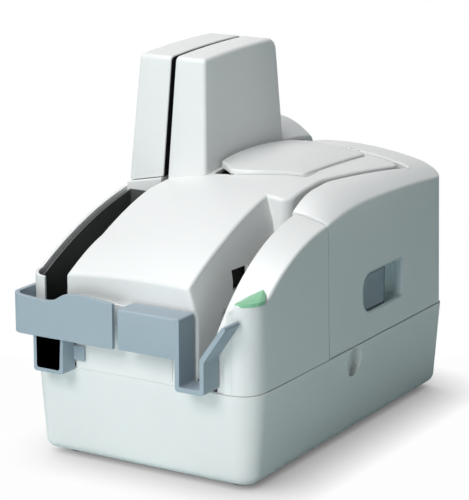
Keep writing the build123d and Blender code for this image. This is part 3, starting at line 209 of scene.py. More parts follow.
def tone_group() -> bpy.types.NodeTree:
    """Slight clouding of a moulding's colour and gloss, as handling and flow marks leave it.

    Returns:
        A group that puts out a colour and a roughness.
    """
    found = bpy.data.node_groups.get("soft_tone")
    if found:
        return found
    group = new_group("soft_tone",
                      [("Colour", "NodeSocketColor", (0.8, 0.8, 0.8, 1.0)),
                       ("Deep Colour", "NodeSocketColor", (0.7, 0.7, 0.7, 1.0)),
                       ("Amount", "NodeSocketFloat", 0.2),
                       ("Roughness", "NodeSocketFloat", 0.4),
                       ("Spread", "NodeSocketFloat", 0.08)],
                      [("Colour", "NodeSocketColor"), ("Roughness", "NodeSocketFloat")])
    nodes, links = group.nodes, group.links
    place = nodes.new("ShaderNodeTexCoord").outputs["Object"]
    cloud = noise(nodes, place, 14.0, 3.0)
    smear = noise(nodes, place, 45.0, 4.0)
    share = maths(nodes, "MULTIPLY")
    mix = colour_mix(nodes, (0.8, 0.8, 0.8), (0.7, 0.7, 0.7))
    centre = maths(nodes, "SUBTRACT", 0.5)
    wide = maths(nodes, "MULTIPLY_ADD")
    links.new(cloud.outputs["Fac"], share.inputs[0])
    links.new(nodes["In"].outputs["Amount"], share.inputs[1])
    links.new(share.outputs[0], mix.inputs["Factor"])
    links.new(nodes["In"].outputs["Colour"], mix.inputs["A"])
    links.new(nodes["In"].outputs["Deep Colour"], mix.inputs["B"])
    links.new(smear.outputs["Fac"], centre.inputs[0])
    links.new(centre.outputs[0], wide.inputs[0])
    links.new(nodes["In"].outputs["Spread"], wide.inputs[1])
    links.new(nodes["In"].outputs["Roughness"], wide.inputs[2])
    links.new(mix.outputs["Result"], nodes["Out"].inputs["Colour"])
    links.new(wide.outputs[0], nodes["Out"].inputs["Roughness"])
    return group


@dataclass(frozen=True)
class Finish:
    """A surface finish: its colours, gloss and grain, made into one material."""

    name: str
    slot: str
    colour: Tuple[float, float, float]
    deep: Tuple[float, float, float]
    roughness: float
    amount: float = 0.35
    spread: float = 0.08
    grain_scale: float = 900.0
    grain_depth: float = 0.25
    metallic: float = 0.0
    coat: float = 0.0
    specular: float = 0.5

    def material(self) -> bpy.types.Material:
        """Make the material once and give it back after that.

        Returns:
            The material.
        """
        found = bpy.data.materials.get(self.name)
        if found:
            return found
        material = bpy.data.materials.new(self.name)
        material.use_nodes = True
        nodes, links = material.node_tree.nodes, material.node_tree.links
        shader = nodes["Principled BSDF"]
        tone, grain = nodes.new("ShaderNodeGroup"), nodes.new("ShaderNodeGroup")
        tone.node_tree, grain.node_tree = tone_group(), grain_group()
        for node, label, value in ((tone, "Colour", (*self.colour, 1.0)),
                                   (tone, "Deep Colour", (*self.deep, 1.0)),
                                   (tone, "Amount", self.amount),
                                   (tone, "Roughness", self.roughness),
                                   (tone, "Spread", self.spread),
                                   (grain, "Scale", self.grain_scale),
                                   (grain, "Depth", self.grain_depth)):
            node.inputs[label].default_value = value
        links.new(tone.outputs["Colour"], shader.inputs["Base Color"])
        links.new(tone.outputs["Roughness"], shader.inputs["Roughness"])
        links.new(grain.outputs["Normal"], shader.inputs["Normal"])
        shader.inputs["Metallic"].default_value = self.metallic
        shader.inputs["Coat Weight"].default_value = self.coat
        shader.inputs["Specular IOR Level"].default_value = self.specular
        return material


WARM_WHITE = Finish("warm_white_shell", "shell", (0.78, 0.79, 0.785), (0.70, 0.71, 0.705), 0.42)
CASING_WHITE = Finish("casing_white", "shell", (0.77, 0.775, 0.77), (0.70, 0.70, 0.69), 0.46)
LID_WHITE = Finish("lid_white", "shell", (0.74, 0.75, 0.745), (0.67, 0.68, 0.675), 0.45)
GUIDE_GREY = Finish("guide_blue_grey", "guide_grey", (0.33, 0.40, 0.455), (0.27, 0.335, 0.385),
                    0.48, grain_depth=0.35)
LINER_DARK = Finish("liner_green_black", "liner_dark", (0.040, 0.044, 0.044),
                    (0.060, 0.066, 0.064), 0.45, amount=0.8)
INNER_DARK = Finish("inner_black", "inner_dark", (0.020, 0.020, 0.022), (0.03, 0.03, 0.033), 0.55)
# Near-black for the dark plates that stand in for shade: painted shade in the tower's slot, round
# the latch pad, under the finger notch and behind the nose's window.
PAINTED_SHADE_BLACK = Finish("painted_shade_black", "inner_dark", (0.010, 0.010, 0.011), (0.014, 0.014, 0.015), 0.7,
                    specular=0.2)
# The recess pan is the white moulding painted a darker cool grey: painted shade of the recess.
PAN_PAINTED_SHADE = Finish("recess_painted_shade", "latch_grey", (0.52, 0.60, 0.62), (0.44, 0.52, 0.54), 0.45)
LENS_GREEN = Finish("green_lens", "lens_green", (0.25, 0.56, 0.34), (0.30, 0.60, 0.39), 0.35,
                    grain_depth=0.05, specular=0.4)
LATCH_GREY = Finish("latch_slate", "latch_grey", (0.19, 0.24, 0.285), (0.15, 0.19, 0.23), 0.36,
                    coat=0.1)
STEEL = Finish("ground_steel", "steel", (0.48, 0.49, 0.50), (0.40, 0.41, 0.42), 0.30,
               metallic=1.0, grain_depth=0.1)
RUBBER = Finish("soft_rubber", "rubber", (0.022, 0.022, 0.024), (0.035, 0.035, 0.036), 0.75,
                grain_scale=500.0, grain_depth=0.5)
BOARD_GREEN = Finish("board_green", "circuit_green", (0.02, 0.13, 0.06), (0.03, 0.16, 0.07),
                     0.35, coat=0.3)
SENSOR_GLASS = Finish("dark_glass", "sensor_glass", (0.05, 0.06, 0.07), (0.06, 0.07, 0.08), 0.06,
                      grain_depth=0.0, coat=0.6)
SWITCH_BLACK = Finish("rocker_black", "switch_black", (0.015, 0.015, 0.016),
                      (0.022, 0.022, 0.024), 0.30, coat=0.2)


# ---- meshes ----
class Surface:
    """Points and faces of one piece, gathered patch by patch."""

    def __init__(self) -> None:
        """Start with nothing."""
        self.points: List[np.ndarray] = []
        self.faces: List[np.ndarray] = []
        self.loops: List[np.ndarray] = []
        self.count = 0

    def grid(self, points: np.ndarray, wrap: bool = False, keep: Optional[np.ndarray] = None,
             flip: bool = False) -> None:
        """Add a patch: quads between the rows and columns of a grid of points.

        Args:
            points: rows by columns by 3.
            wrap: True joins the last column to the first.
            keep: True for each quad that is wanted.
            flip: True turns the faces over.
        """
        rows, columns = points.shape[:2]
        index = np.arange(rows * columns).reshape(rows, columns) + self.count
        after = np.roll(index, -1, axis=1)
        quads = np.stack((index[:-1], after[:-1], after[1:], index[1:]), axis=-1)
        if not wrap:
            quads = quads[:, :-1]
        if keep is not None:
            quads = quads[keep]
        quads = quads.reshape(-1, 4)
        self.points.append(points.reshape(-1, 3))
        self.faces.append(quads[:, ::-1] if flip else quads)
        self.count += rows * columns

    def cap(self, loop: np.ndarray, flip: bool = False) -> None:
        """Close a loop of points with one flat face.

        Args:
            loop: n by 3 points.
            flip: True turns the face over.
        """
        order = np.arange(len(loop)) + self.count
        self.points.append(loop)
        self.loops.append(order[::-1] if flip else order)
        self.count += len(loop)

    def closed(self, rows: np.ndarray) -> "Surface":
        """Add loops joined row to row, with a flat cap at both ends.

        Args:
            rows: rows by points by 3; the last point of a row joins its first.

        Returns:
            This surface.
        """
        self.grid(rows, wrap=True)
        self.cap(rows[0], flip=True)
        self.cap(rows[-1])
        return self

    def slab(self, top: np.ndarray, under: np.ndarray) -> "Surface":
        """Add two grids, one over the other, with their borders joined.

        Args:
            top: rows by columns by 3, facing up.
            under: the same number of points below it.

        Returns:
            This surface.
        """
        self.grid(top)
        self.grid(under, flip=True)
        self.grid(np.stack((border(top), border(under))), wrap=True, flip=True)
        return self

    def join(self, other: "Surface") -> "Surface":
        """Add another surface's points and faces.

        Args:
            other: the surface whose patches are added.

        Returns:
            This surface.
        """
        self.points += other.points
        self.faces += [face + self.count for face in other.faces]
        self.loops += [loop + self.count for loop in other.loops]
        self.count += other.count
        return self

    def mesh(self, name: str, solid: bool) -> bpy.types.Mesh:
        """Put the points, moved into the row's frame and into metres, and the faces into a mesh.

        Args:
            name: the mesh's name.
            solid: True if the surface is closed, so that its faces are turned outwards.

        Returns:
            The mesh, with coinciding points merged.
        """
        points = (np.concatenate(self.points) + SHIFT) * MILLIMETRE
        faces = np.concatenate(self.faces).tolist() + [loop.tolist() for loop in self.loops]
        mesh = bpy.data.meshes.new(name)
        mesh.from_pydata(points, [], faces)
        tidy = bmesh.new()
        tidy.from_mesh(mesh)
        bmesh.ops.remove_doubles(tidy, verts=tidy.verts, dist=2e-6)
        bmesh.ops.dissolve_degenerate(tidy, edges=tidy.edges, dist=1e-7)
        if solid:
            bmesh.ops.recalc_face_normals(tidy, faces=tidy.faces)
        tidy.to_mesh(mesh)
        tidy.free()
        return mesh

    def cutter(self, name: str) -> bpy.types.Object:
        """A plain closed object used only as a cutter.

        Args:
            name: the object's name.

        Returns:
            The object, with no material.
        """
        cutter = bpy.data.objects.new(name, self.mesh(name, True))
        bpy.context.scene.collection.objects.link(cutter)
        return cutter

    def build(self, name: str, finish: Finish, body: Body, nodes: Sequence[str] = (),
              smooth: float = 38.0, solid: bool = False) -> bpy.types.Object:
        """Make the object.

        Args:
            name: the piece's name.
            finish: its material and slot.
            body: the body that it rides on.
            nodes: frame nodes that it stands for.
            smooth: edges sharper than this many degrees stay crisp.
            solid: True if the surface is closed, so that its faces are turned outwards.

        Returns:
            The new object.
        """
        return finish_piece(self.mesh(name, solid), name, finish, body, nodes, smooth)


def shade(mesh: bpy.types.Mesh, smooth: float) -> None:
    """Shade a mesh smoothly, except at edges sharper than this many degrees."""
    mesh.polygons.foreach_set("use_smooth", np.ones(len(mesh.polygons), dtype=bool))
    mesh.set_sharp_from_angle(angle=math.radians(smooth))


def finish_piece(mesh: bpy.types.Mesh, name: str, finish: Finish, body: Body,
                 nodes: Sequence[str], smooth: float) -> bpy.types.Object:
    """Shade a mesh, dress it and let it ride.

    Args:
        mesh: the finished mesh, in metres in the row's frame.
        name: the piece's name.
        finish: its material and slot.
        body: the body that it rides on.
        nodes: frame nodes that it stands for.
        smooth: edges sharper than this many degrees stay crisp.

    Returns:
        The new object.
    """
    shade(mesh, smooth)
    mesh.materials.append(finish.material())
    piece = bpy.data.objects.new(name, mesh)
    bpy.context.scene.collection.objects.link(piece)
    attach(piece, body.value)
    if nodes:
        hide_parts(*nodes)
    LOG.info("piece %s rides on %s", name, body.value)
    return piece


def soften(piece: bpy.types.Object, width: float, segments: int = 2, angle: float = 40.0) -> None:
    """Round a piece's crisp edges.

    Args:
        piece: the object.
        width: the rounding in millimetres.
        segments: number of strips across it.
        angle: only edges sharper than this many degrees are rounded.
    """
    bevel = piece.modifiers.new("edge_rounding", "BEVEL")
    bevel.width = width * MILLIMETRE
    bevel.segments = segments
    bevel.limit_method = "ANGLE"
    bevel.angle_limit = math.radians(angle)
    bevel.harden_normals = True
    bevel.use_clamp_overlap = True


def thicken(piece: bpy.types.Object, thickness: float = WALL) -> None:
    """Give an open surface its wall, inwards.

    Args:
        piece: the object, an open surface that faces outwards.
        thickness: the wall in millimetres.
    """
    wall = piece.modifiers.new("wall", "SOLIDIFY")
    wall.thickness = thickness * MILLIMETRE
    wall.offset = -1.0
    wall.use_even_offset = False
    wall.use_quality_normals = True


def cut(piece: bpy.types.Object, cutter: bpy.types.Object) -> None:
    """Cut one piece's shape out of another and drop the cutter.

    Args:
        piece: the object that is cut, with its modifiers so far applied.
        cutter: a closed object, which is removed.
    """
    difference = piece.modifiers.new("opening", "BOOLEAN")
    difference.operation = "DIFFERENCE"
    difference.object = cutter
    difference.solver = "EXACT"
    settle(piece)
    bpy.data.objects.remove(cutter, do_unlink=True)


def settle(piece: bpy.types.Object) -> None:
    """Apply a piece's modifiers to its mesh.

    Args:
        piece: the object, left without modifiers.
    """
    bpy.context.view_layer.update()
    seen = piece.evaluated_get(bpy.context.evaluated_depsgraph_get())
    mesh = bpy.data.meshes.new_from_object(seen)
    piece.modifiers.clear()
    old = piece.data
    piece.data = mesh
    bpy.data.meshes.remove(old)


# ---- plan curves ----
def rounded_path(corners: Sequence[Tuple[float, float, float]], closed: bool = True,
                 step: float = 2.0, turns: int = 8) -> np.ndarray:
    """Points along a polygon whose corners are arcs.

    Each corner's arc touches both its sides; the stretches between arcs are divided evenly.

    Args:
        corners: x, y and radius of each corner, in order.
        closed: True joins the last corner to the first.
        step: longest stretch between points on the straight runs.
        turns: number of steps round each arc.

    Returns:
        The points, as n by 2.
    """
    places = np.array([(x, y) for x, y, _ in corners])
    total = len(corners)
    pieces: List[np.ndarray] = []
    for i, (x, y, radius) in enumerate(corners):
        here = places[i]
        if not closed and i in (0, total - 1) or radius <= 0:
            pieces.append(here[None])
            continue
        back = places[i - 1] - here
        ahead = places[(i + 1) % total] - here
        back, ahead = back / np.linalg.norm(back), ahead / np.linalg.norm(ahead)
        half = math.acos(float(np.clip(back @ ahead, -1, 1))) / 2
        reach = radius / math.tan(half)
        middle = here + (back + ahead) / np.linalg.norm(back + ahead) * radius / math.sin(half)
        pieces.append(turned(middle, here + back * reach - middle, here + ahead * reach - middle,
                             turns + 1))
    result: List[np.ndarray] = []
    for i, piece in enumerate(pieces):
        result.append(piece)
        if closed or i < total - 1:
            a, b = piece[-1], pieces[(i + 1) % total][0]
            parts = max(1, int(np.linalg.norm(b - a) / step))
            share = np.linspace(0, 1, parts + 1)[1:-1, None]
            result.append(a + (b - a) * share)
    return np.concatenate(result)


def circle(centre: Tuple[float, float], radius: float, count: int) -> np.ndarray:
    """Evenly spaced points round a circle: centre plus radius times cosine and sine.

    Args:
        centre: its middle.
        radius: its radius.
        count: how many points to give.

    Returns:
        count by 2 points.
    """
    angle = np.linspace(0, 2 * math.pi, count + 1)[:-1]
    return np.column_stack((centre[0] + radius * np.cos(angle),
                            centre[1] + radius * np.sin(angle)))


def turned(middle: np.ndarray, start: np.ndarray, end: np.ndarray, count: int) -> np.ndarray:
    """Points on an arc: the spoke from its middle to its start, turned evenly to its end.

    Args:
        middle: the arc's centre.
        start: its first spoke.
        end: its last spoke.
        count: how many points to give.

    Returns:
        count by 2 points.
    """
    sweep = math.atan2(start[0] * end[1] - start[1] * end[0], float(start @ end))
    angle = np.linspace(0.0, sweep, count)
    return np.stack((middle[0] + start[0] * np.cos(angle) - start[1] * np.sin(angle),
                     middle[1] + start[0] * np.sin(angle) + start[1] * np.cos(angle)), axis=-1)


def stretch(curve: np.ndarray, count: int) -> np.ndarray:
    """Points evenly spaced along a curve.

    Args:
        curve: n by k points.
        count: how many points to give.

    Returns:
        count by k points from its first to its last.
    """
    length = np.concatenate(([0.0], np.cumsum(np.linalg.norm(np.diff(curve, axis=0), axis=1))))
    wanted = np.linspace(0, length[-1], count)
    return np.stack([np.interp(wanted, length, curve[:, k]) for k in range(curve.shape[1])], -1)


def arc_through(a: Sequence[float], b: Sequence[float], c: Sequence[float],
                count: int) -> np.ndarray:
    """Points on the circle's arc through three places, from the first to the last.

    Args:
        a: the arc's start.
        b: a place on it.
        c: its end.
        count: how many points to give.

    Returns:
        count by 2 points.
    """
    p, q, r = (np.array(v, dtype=float) for v in (a, b, c))
    left = np.array((q - p, r - p)) * 2
    right = np.array((q @ q - p @ p, r @ r - p @ p))
    middle = np.linalg.solve(left, right)
    return turned(middle, p - middle, r - middle, count)


def border(grid: np.ndarray) -> np.ndarray:
    """The loop of points round a grid: front row, right column, rear row, left column."""
    return np.concatenate((grid[0, :-1], grid[:-1, -1], grid[-1, :0:-1], grid[:0:-1, 0]))


def between(left: np.ndarray, right: np.ndarray, columns: int) -> np.ndarray:
    """A grid ruled between two curves: each row runs straight from the left one to the right."""
    share = np.linspace(0, 1, columns)[:, None]
    return left[:, None] + (right - left)[:, None] * share


def outward_lean(rim: np.ndarray, centre: Tuple[float, float], no_x: np.ndarray,
                 no_y: np.ndarray) -> np.ndarray:
    """How far a wall moves per millimetre of drop: the unit way out from a centre, times the lean.

    Args:
        rim: n by 2 points of the wall's upper edge.
        centre: the middle of the corner that the wall turns round.
        no_x: True where the way has no part along x.
        no_y: True where it has none along y.

    Returns:
        n by 2 slopes.
    """
    away = rim - np.array(centre)
    away[no_x, 0] = 0
    away[no_y, 1] = 0
    size = np.maximum(np.linalg.norm(away, axis=1), 1e-6)[:, None]
    return away / size * BODY.upper_lean


@dataclass
class TopShell:
    """A shell under a curved top.

    The top is a height over a plan grid. Round it, the edge turns down through a quarter circle
    from the inner border to the outer one, and a wall drops from there to its lower edge.
    """

    inner: np.ndarray
    outer: np.ndarray
    top: Field
    low: np.ndarray
    lean: Optional[np.ndarray] = None
    lean_depth: float = 1000.0
    keep: Optional[np.ndarray] = None
    edge_turn: Tuple[float, ...] = (0, 15, 32, 50, 70, 90)
    wall_rows: Tuple[float, ...] = (0.012, 0.06, 0.15, 0.3, 0.5, 0.7, 0.88, 0.97, 0.99, 1.0)

    def surface(self) -> Surface:
        """Work out the shell's points.

        Returns:
            The open surface: top, rounded edge and wall.
        """
        out = Surface()
        x, y = self.inner[..., 0], self.inner[..., 1]
        out.grid(np.stack((x, y, self.top(x, y)), -1), keep=self.keep)
        ring, rim = border(self.inner), border(self.outer)
        reach = rim - ring
        radius = np.abs(reach).max(axis=1)
        angle = np.radians(self.edge_turn)[:, None]
        flat = ring + reach * np.sin(angle)[..., None]
        height = self.top(flat[..., 0], flat[..., 1]) - radius * (1 - np.cos(angle))
        rows = [np.concatenate((flat, height[..., None]), -1)]
        drop = (height[-1] - self.low) * np.array(self.wall_rows)[:, None]
        lean = np.zeros_like(rim) if self.lean is None else self.lean
        place = rim + np.minimum(drop, self.lean_depth)[..., None] * lean
        rows.append(np.concatenate((place, (height[-1] - drop)[..., None]), -1))
        out.grid(np.concatenate(rows), wrap=True, flip=True)
        return out


def box_surface(x: Tuple[float, float], y: Tuple[float, float], z: Tuple[float, float]) -> Surface:
    """A closed block: the rectangle of x and y carried along z."""
    loop = np.array(((x[0], y[0]), (x[1], y[0]), (x[1], y[1]), (x[0], y[1])), dtype=float)
    return prism(loop, z, 2)


def prism(outline: np.ndarray, span: Tuple[float, float], axis: int) -> Surface:
    """A flat outline carried straight along an axis, with a cap at both ends.

    Args:
        outline: n by 2 points in the plane across the axis, in the order of the other two axes.
        span: where it starts and ends on the axis.
        axis: 0, 1 or 2 for x, y or z.

    Returns:
        The closed surface.
    """
    return Surface().closed(np.stack([np.insert(outline, axis, end, axis=1) for end in span]))


def copied(node: bpy.types.Object, name: str, finish: Finish, body: Body,
           rounding: float = 0.0) -> bpy.types.Object:
    """A joined and smoothly shaded copy of a frame node, with its edges rounded.

    Args:
        node: the frame node.
        name: the piece's name.
        finish: its material and slot.
        body: the body that it rides on.
        rounding: edge rounding in millimetres.

    Returns:
        The new object.
    """
    mesh = node.data.copy()
    mesh.materials.clear()
    tidy = bmesh.new()
    tidy.from_mesh(mesh)
    bmesh.ops.remove_doubles(tidy, verts=tidy.verts, dist=1e-6)
    bmesh.ops.dissolve_limit(tidy, angle_limit=math.radians(0.5), verts=tidy.verts,
                             edges=tidy.edges)
    tidy.to_mesh(mesh)
    tidy.free()
    mesh.name = name
    piece = finish_piece(mesh, name, finish, body, [node.name], 30.0)
    if rounding:
        soften(piece, rounding, angle=35.0)
    return piece


# ---- the curved top ----
@dataclass(frozen=True)
class Dome:
    """The domed top: a crest line that falls to the front and rear, bowed across the machine."""

    crest_height: float = 177.6
    crest_x: float = 5.0
    crest_y: float = 18.0
    nose_front: float = -137.5
    nose_drop: float = 50.1
    tail_drop: float = 5.5
    rear: float = 140.0
    side_bow: float = 250.0
    nose_bow: float = 560.0
    nose_blend: float = 40.0

    def height(self, x: np.ndarray, y: np.ndarray) -> np.ndarray:
        """Crest height less the bow across: z = crest(y) - (x - x0)^2 / (2 bow(y)).

        Args:
            x: places across the machine.
            y: places along it.

        Returns:
            The dome's height at each place.
        """
        y = np.maximum(y, self.nose_front)
        front = self.nose_drop * ((self.crest_y - y) / (self.crest_y - self.nose_front)) ** 2
        tail = self.tail_drop * ((y - self.crest_y) / (self.rear - self.crest_y)) ** 2
        crest = self.crest_height - np.where(y < self.crest_y, front, tail)
        share = np.clip((y - self.nose_front) / self.nose_blend, 0, 1)
        bow = self.nose_bow + (self.side_bow - self.nose_bow) * share
        return crest - (x - self.crest_x) ** 2 / (2 * bow)


DOME = Dome()


@dataclass(frozen=True)
class Footprint:
    """Plan of the body at the seam, with its leaning sides."""

    half_width: float = 86.5
    half_depth: float = 140.0
    skin: float = 0.1
    seam: float = 60.2
    front_corner: float = 18.0
    left_corner: float = 10.0
    rear_corner: float = 9.0
    least_corner: float = 0.6
    upper_lean: float = 0.021
    lower_lean: float = 0.07

    def side(self, z: np.ndarray) -> np.ndarray:
        """X of the upper body's side at a height."""
        return self.half_width - self.skin - (z - self.seam) * self.upper_lean

    def end(self, z: np.ndarray) -> np.ndarray:
        """Y of the upper body's rear face at a height."""
        return self.half_depth - self.skin - (z - self.seam) * self.upper_lean

    def outline(self, inset: float) -> np.ndarray:
        """The closed plan curve, from the rear left corner round by the front.

        Args:
            inset: how far it is drawn in.

        Returns:
            n by 2 points.
        """
        w, d = self.half_width - inset, self.half_depth - inset
        rear, left, front = (max(self.least_corner, corner - inset) for corner in
                             (self.rear_corner, self.left_corner, self.front_corner))
        return rounded_path(((-w, d, rear), (-w, -d, left), (w, -d, front), (w, d, rear)),
                            step=BARE, turns=14)


BODY = Footprint()


# ---- sub-assemblies ----
@dataclass
class LowerCasing:
    """The tub below the seam: rounded bottom, leaning sides, a finger scoop and rear sockets."""

    low: float = -3.5
    bottom_round: float = 8.0
    wall: Tuple[float, float, int] = (8.0, 59.0, 12)
    lip: Tuple[Tuple[float, float], ...] = ((59.75, 0.0), (60.0, 0.12), (60.1, 0.4))
    scoop_y: float = -1.0
    scoop_z: float = 49.2
    scoop_radius: float = 10.5
    scoop_depth: float = 6.5
    scoop_lip: float = 0.1
    rear_cut: Tuple[float, float] = (126.0, 150.0)
    inlet_x: float = -46.0
    inlet_radius: float = 5.9
    data_x: float = -20.0
    data_size: Tuple[float, float] = (12.4, 11.4)
    switch_x: float = 16.0
    switch_size: Tuple[float, float] = (14.4, 20.4)
    socket_z: float = 32.0

    def rows(self) -> np.ndarray:
        """Plan curves, inset by the bottom's quarter circle and by the sides' lean.

        Returns:
            Rows by points by 3, from the bottom up.
        """
        turn = np.radians(np.linspace(0, 90, 8))
        heights = np.concatenate((self.low + self.bottom_round * (1 - np.cos(turn)),
                                  np.linspace(*self.wall), [z for z, _ in self.lip]))
        edge = np.concatenate((self.bottom_round * (1 - np.sin(turn)), np.zeros(self.wall[2]),
                               [inset for _, inset in self.lip]))
        inset = edge + (BODY.seam - heights) * BODY.lower_lean
        rings = np.stack([BODY.outline(reach) for reach in inset])
        level = np.broadcast_to(heights[:, None, None], rings.shape[:2] + (1,))
        return np.concatenate((rings, level), -1)

    def build(self) -> None:
        """Make the tub, press the scoop into it and open the sockets' holes."""
        casing = Surface().closed(self.rows()).build("lower_casing_shell", CASING_WHITE, Body.BASE,
                                                     ["lower_casing"], solid=True)
        cut(casing, self.scoop())
        for x, (width, height) in ((self.data_x, self.data_size),
                                   (self.switch_x, self.switch_size)):
            block = box_surface((x - width / 2, x + width / 2), self.rear_cut,
                                (self.socket_z - height / 2, self.socket_z + height / 2))
            cut(casing, block.cutter("socket_cutter"))
        ring = circle((self.inlet_x, self.socket_z), self.inlet_radius, 40)
        cut(casing, prism(ring, self.rear_cut, 1).cutter("inlet_cutter"))
        shade(casing.data, 30.0)

    def scoop(self) -> bpy.types.Object:
        """A tilted round cutter: shallow at its front, deep at its rear.

        Returns:
            The cutter.
        """
        wall = BODY.half_width - (BODY.seam - self.scoop_z) * BODY.lower_lean
        ring = circle((self.scoop_y, self.scoop_z), self.scoop_radius, 64)
        share = (1 + (ring[:, 0] - self.scoop_y) / self.scoop_radius) / 2
        lean = (ring[:, 1] - self.scoop_z) * BODY.lower_lean
        bed = wall - self.scoop_lip - self.scoop_depth * share + lean
        outside = np.full(len(ring), wall + self.scoop_radius)
        rows = np.stack([np.column_stack((x, ring)) for x in (bed, outside)])
        return Surface().closed(rows).cutter("scoop_cutter")


@dataclass
class CentreCover:
    """The sloping nose and the deck in one moulding, open at the ink cartridge's bay."""

    edge: float = 2.0
    left_line: Tuple[Tuple[float, float], ...] = (
        (-137.5, -59.0), (-40.0, -59.0), (-24.0, -54.0), (90.0, -54.0), (91.4, -24.8),
        (104.0, -24.8))
    nose_top_right: float = 37.0
    nose_front: float = -137.5
    nose_corner: float = 2.4
    shoulder: float = 6.0
    shoulder_depth: float = 20.0
    lean_from: float = 12.0
    deck_front: float = -38.0
    deck_rear: float = 104.0
    deck_x: Tuple[float, ...] = (45.0, 53.0, 53.5, 67.0, 56.0)
    deck_bend: Tuple[float, float] = (10.0, 40.0)
    deck_corner: float = 8.0
    step: float = 0.02
    first_column: float = -50.0
    bay: Tuple[float, float, float, float] = (-17.0, 34.0, 2.0, 84.0)
    notch: Tuple[float, float, float, float] = (-18.0, -17.5, -2.0, 0.0)
    notch_painted_shade: Tuple[float, float] = (169.5, 170.0)
    window: Tuple[float, Tuple[float, float], Tuple[float, float]] = (
        43.0, (-93.0, -74.0), (116.0, 129.5))
    notch_reach: Tuple[float, float] = (160.0, 190.0)
    nose_end: float = -28.0
    tower_end: float = 90.6
    chassis_top: float = 62.8
    skirt: float = 12.0

    def left(self, y: np.ndarray, inset: float) -> np.ndarray:
        """X of the left border at y: nose, pocket's end, under the tower, behind it."""
        places, x = np.array(self.left_line).T
        return np.interp(y, places, x) + inset

    def right(self, inset: float) -> np.ndarray:
        """The right border: nose edge, step to the deck, deck edge that veers out, rear corner.

        Args:
            inset: how far it is drawn in.

        Returns:
            n by 2 points from the front to the rear.
        """
        e = inset
        nose = rounded_path(((self.bay[1] + 0.1, self.nose_front + e, 0.0),
                             (self.nose_top_right - e, self.nose_front + e,
                              self.nose_corner - 0.8 * e),
                             (self.nose_top_right - e, self.deck_front + e, 0.0)), False, 3.0, 6)
        inner, front, middle, rear, end = self.deck_x
        start, corner = self.deck_front + e + self.step, self.deck_corner - e
        deck = rounded_path(((inner, start, 0.0), (front - e, start, corner),
                             (middle - e, *self.deck_bend), (rear - e, self.deck_rear - e, corner),
                             (end, self.deck_rear - e, 0.0)), False, 3.0, 8)
        return np.concatenate((nose, deck))

    def plan(self, inset: float) -> np.ndarray:
        """Rows from the left border to the right one, with fixed columns round the bay.

        Args:
            inset: how far the border is drawn in.

        Returns:
            rows by columns by 2 points of the plan.
        """
        right = self.right(inset)
        y = np.maximum.accumulate(right[:, 1])
        y = np.minimum(y, self.deck_rear - inset)
        left = self.left(y, inset)
        bay_left, bay_right = self.bay[:2]
        fixed = np.concatenate((np.linspace(self.first_column, bay_left, 8),
                                np.linspace(bay_left, bay_right, 12)[1:]))
        shares = np.array((0.0, 0.4, 0.75))
        head = left[:, None] + (self.first_column - left)[:, None] * shares
        body = np.repeat(fixed[None], len(y), 0)
        narrow = np.linspace(self.left_line[-1][1] + inset, bay_right, len(fixed) + len(shares))
        behind = y > self.tower_end
        head[behind], body[behind] = narrow[:len(shares)], narrow[len(shares):]
        tail = bay_right + (right[:, 0] - bay_right)[:, None] * np.linspace(0, 1, 9)[1:]
        x = np.concatenate((head, body, tail), 1)
        return np.stack((x, np.repeat(y[:, None], x.shape[1], 1)), -1)

    def build(self) -> None:
        """Make the cover: the dome over the plan, its edges, the nose's shoulder and walls."""
        inner, outer = self.plan(self.edge), self.plan(0.0)
        rim = border(outer)
        low = DOME.height(rim[:, 0], rim[:, 1]) - self.skirt
        low[rim[:, 1] < self.nose_end] = self.chassis_top
        lean = np.zeros_like(rim)
        nose = (rim[:, 0] < self.deck_x[0] - 1) & (rim[:, 1] < self.deck_front + self.step / 2)
        run = self.nose_top_right - self.lean_from
        share = np.clip((rim[:, 0] - self.lean_from) / run, 0, 1)
        lean[nose, 0] = (share * self.shoulder / self.shoulder_depth)[nose]
        keep = self.keep(inner)
        shell = TopShell(inner, outer, DOME.height, low, lean, self.shoulder_depth, keep=keep)
        cover = shell.surface().build("centre_cover_shell", WARM_WHITE, Body.BASE,
                                      ["centre_cover"], smooth=CRISP_ANGLE)
        thicken(cover)
        self.openings(cover)

    def openings(self, cover: bpy.types.Object) -> None:
        """Cut the finger notch and the side window, and set a dark plate behind each, as painted
        shade.

        Args:
            cover: the finished shell.
        """
        left, front, right, rear = self.notch
        notch = np.array(((left, front), (right, front), (left, rear)))
        cut(cover, prism(notch, self.notch_reach, 2).cutter("notch_cutter"))
        # A near-black plate under the finger notch: painted shade in the hollow.
        floor = box_surface((left - 2, right + 2), (front - 2, rear + 1), self.notch_painted_shade)
        floor.build("notch_painted_shade", PAINTED_SHADE_BLACK, Body.BASE, solid=True)
        x, y, z = self.window
        cut(cover, box_surface((x - 4.0, x + 8.0), y, z).cutter("window_cutter"))
        cover.data.set_sharp_from_angle(angle=math.radians(CRISP_ANGLE))
        # A near-black plate behind the side window: painted shade inside the nose.
        plate = box_surface((x - 5.5, x - 4.5), (y[0] - 4, y[1] + 4), (z[0] - 4, z[1] + 6))
        plate.build("nose_window_painted_shade", PAINTED_SHADE_BLACK, Body.BASE, solid=True)

    def keep(self, inner: np.ndarray) -> np.ndarray:
        """True for the quads outside the cartridge bay.

        Args:
            inner: the plan of the top.

        Returns:
            One value for each quad of the plan.
        """
        middle = (inner[:-1, :-1] + inner[1:, 1:]) / 2
        x0, x1, y0, y1 = self.bay
        x, y = middle[..., 0], middle[..., 1]
        return ~((x > x0) & (x < x1) & (y > y0) & (y < y1))


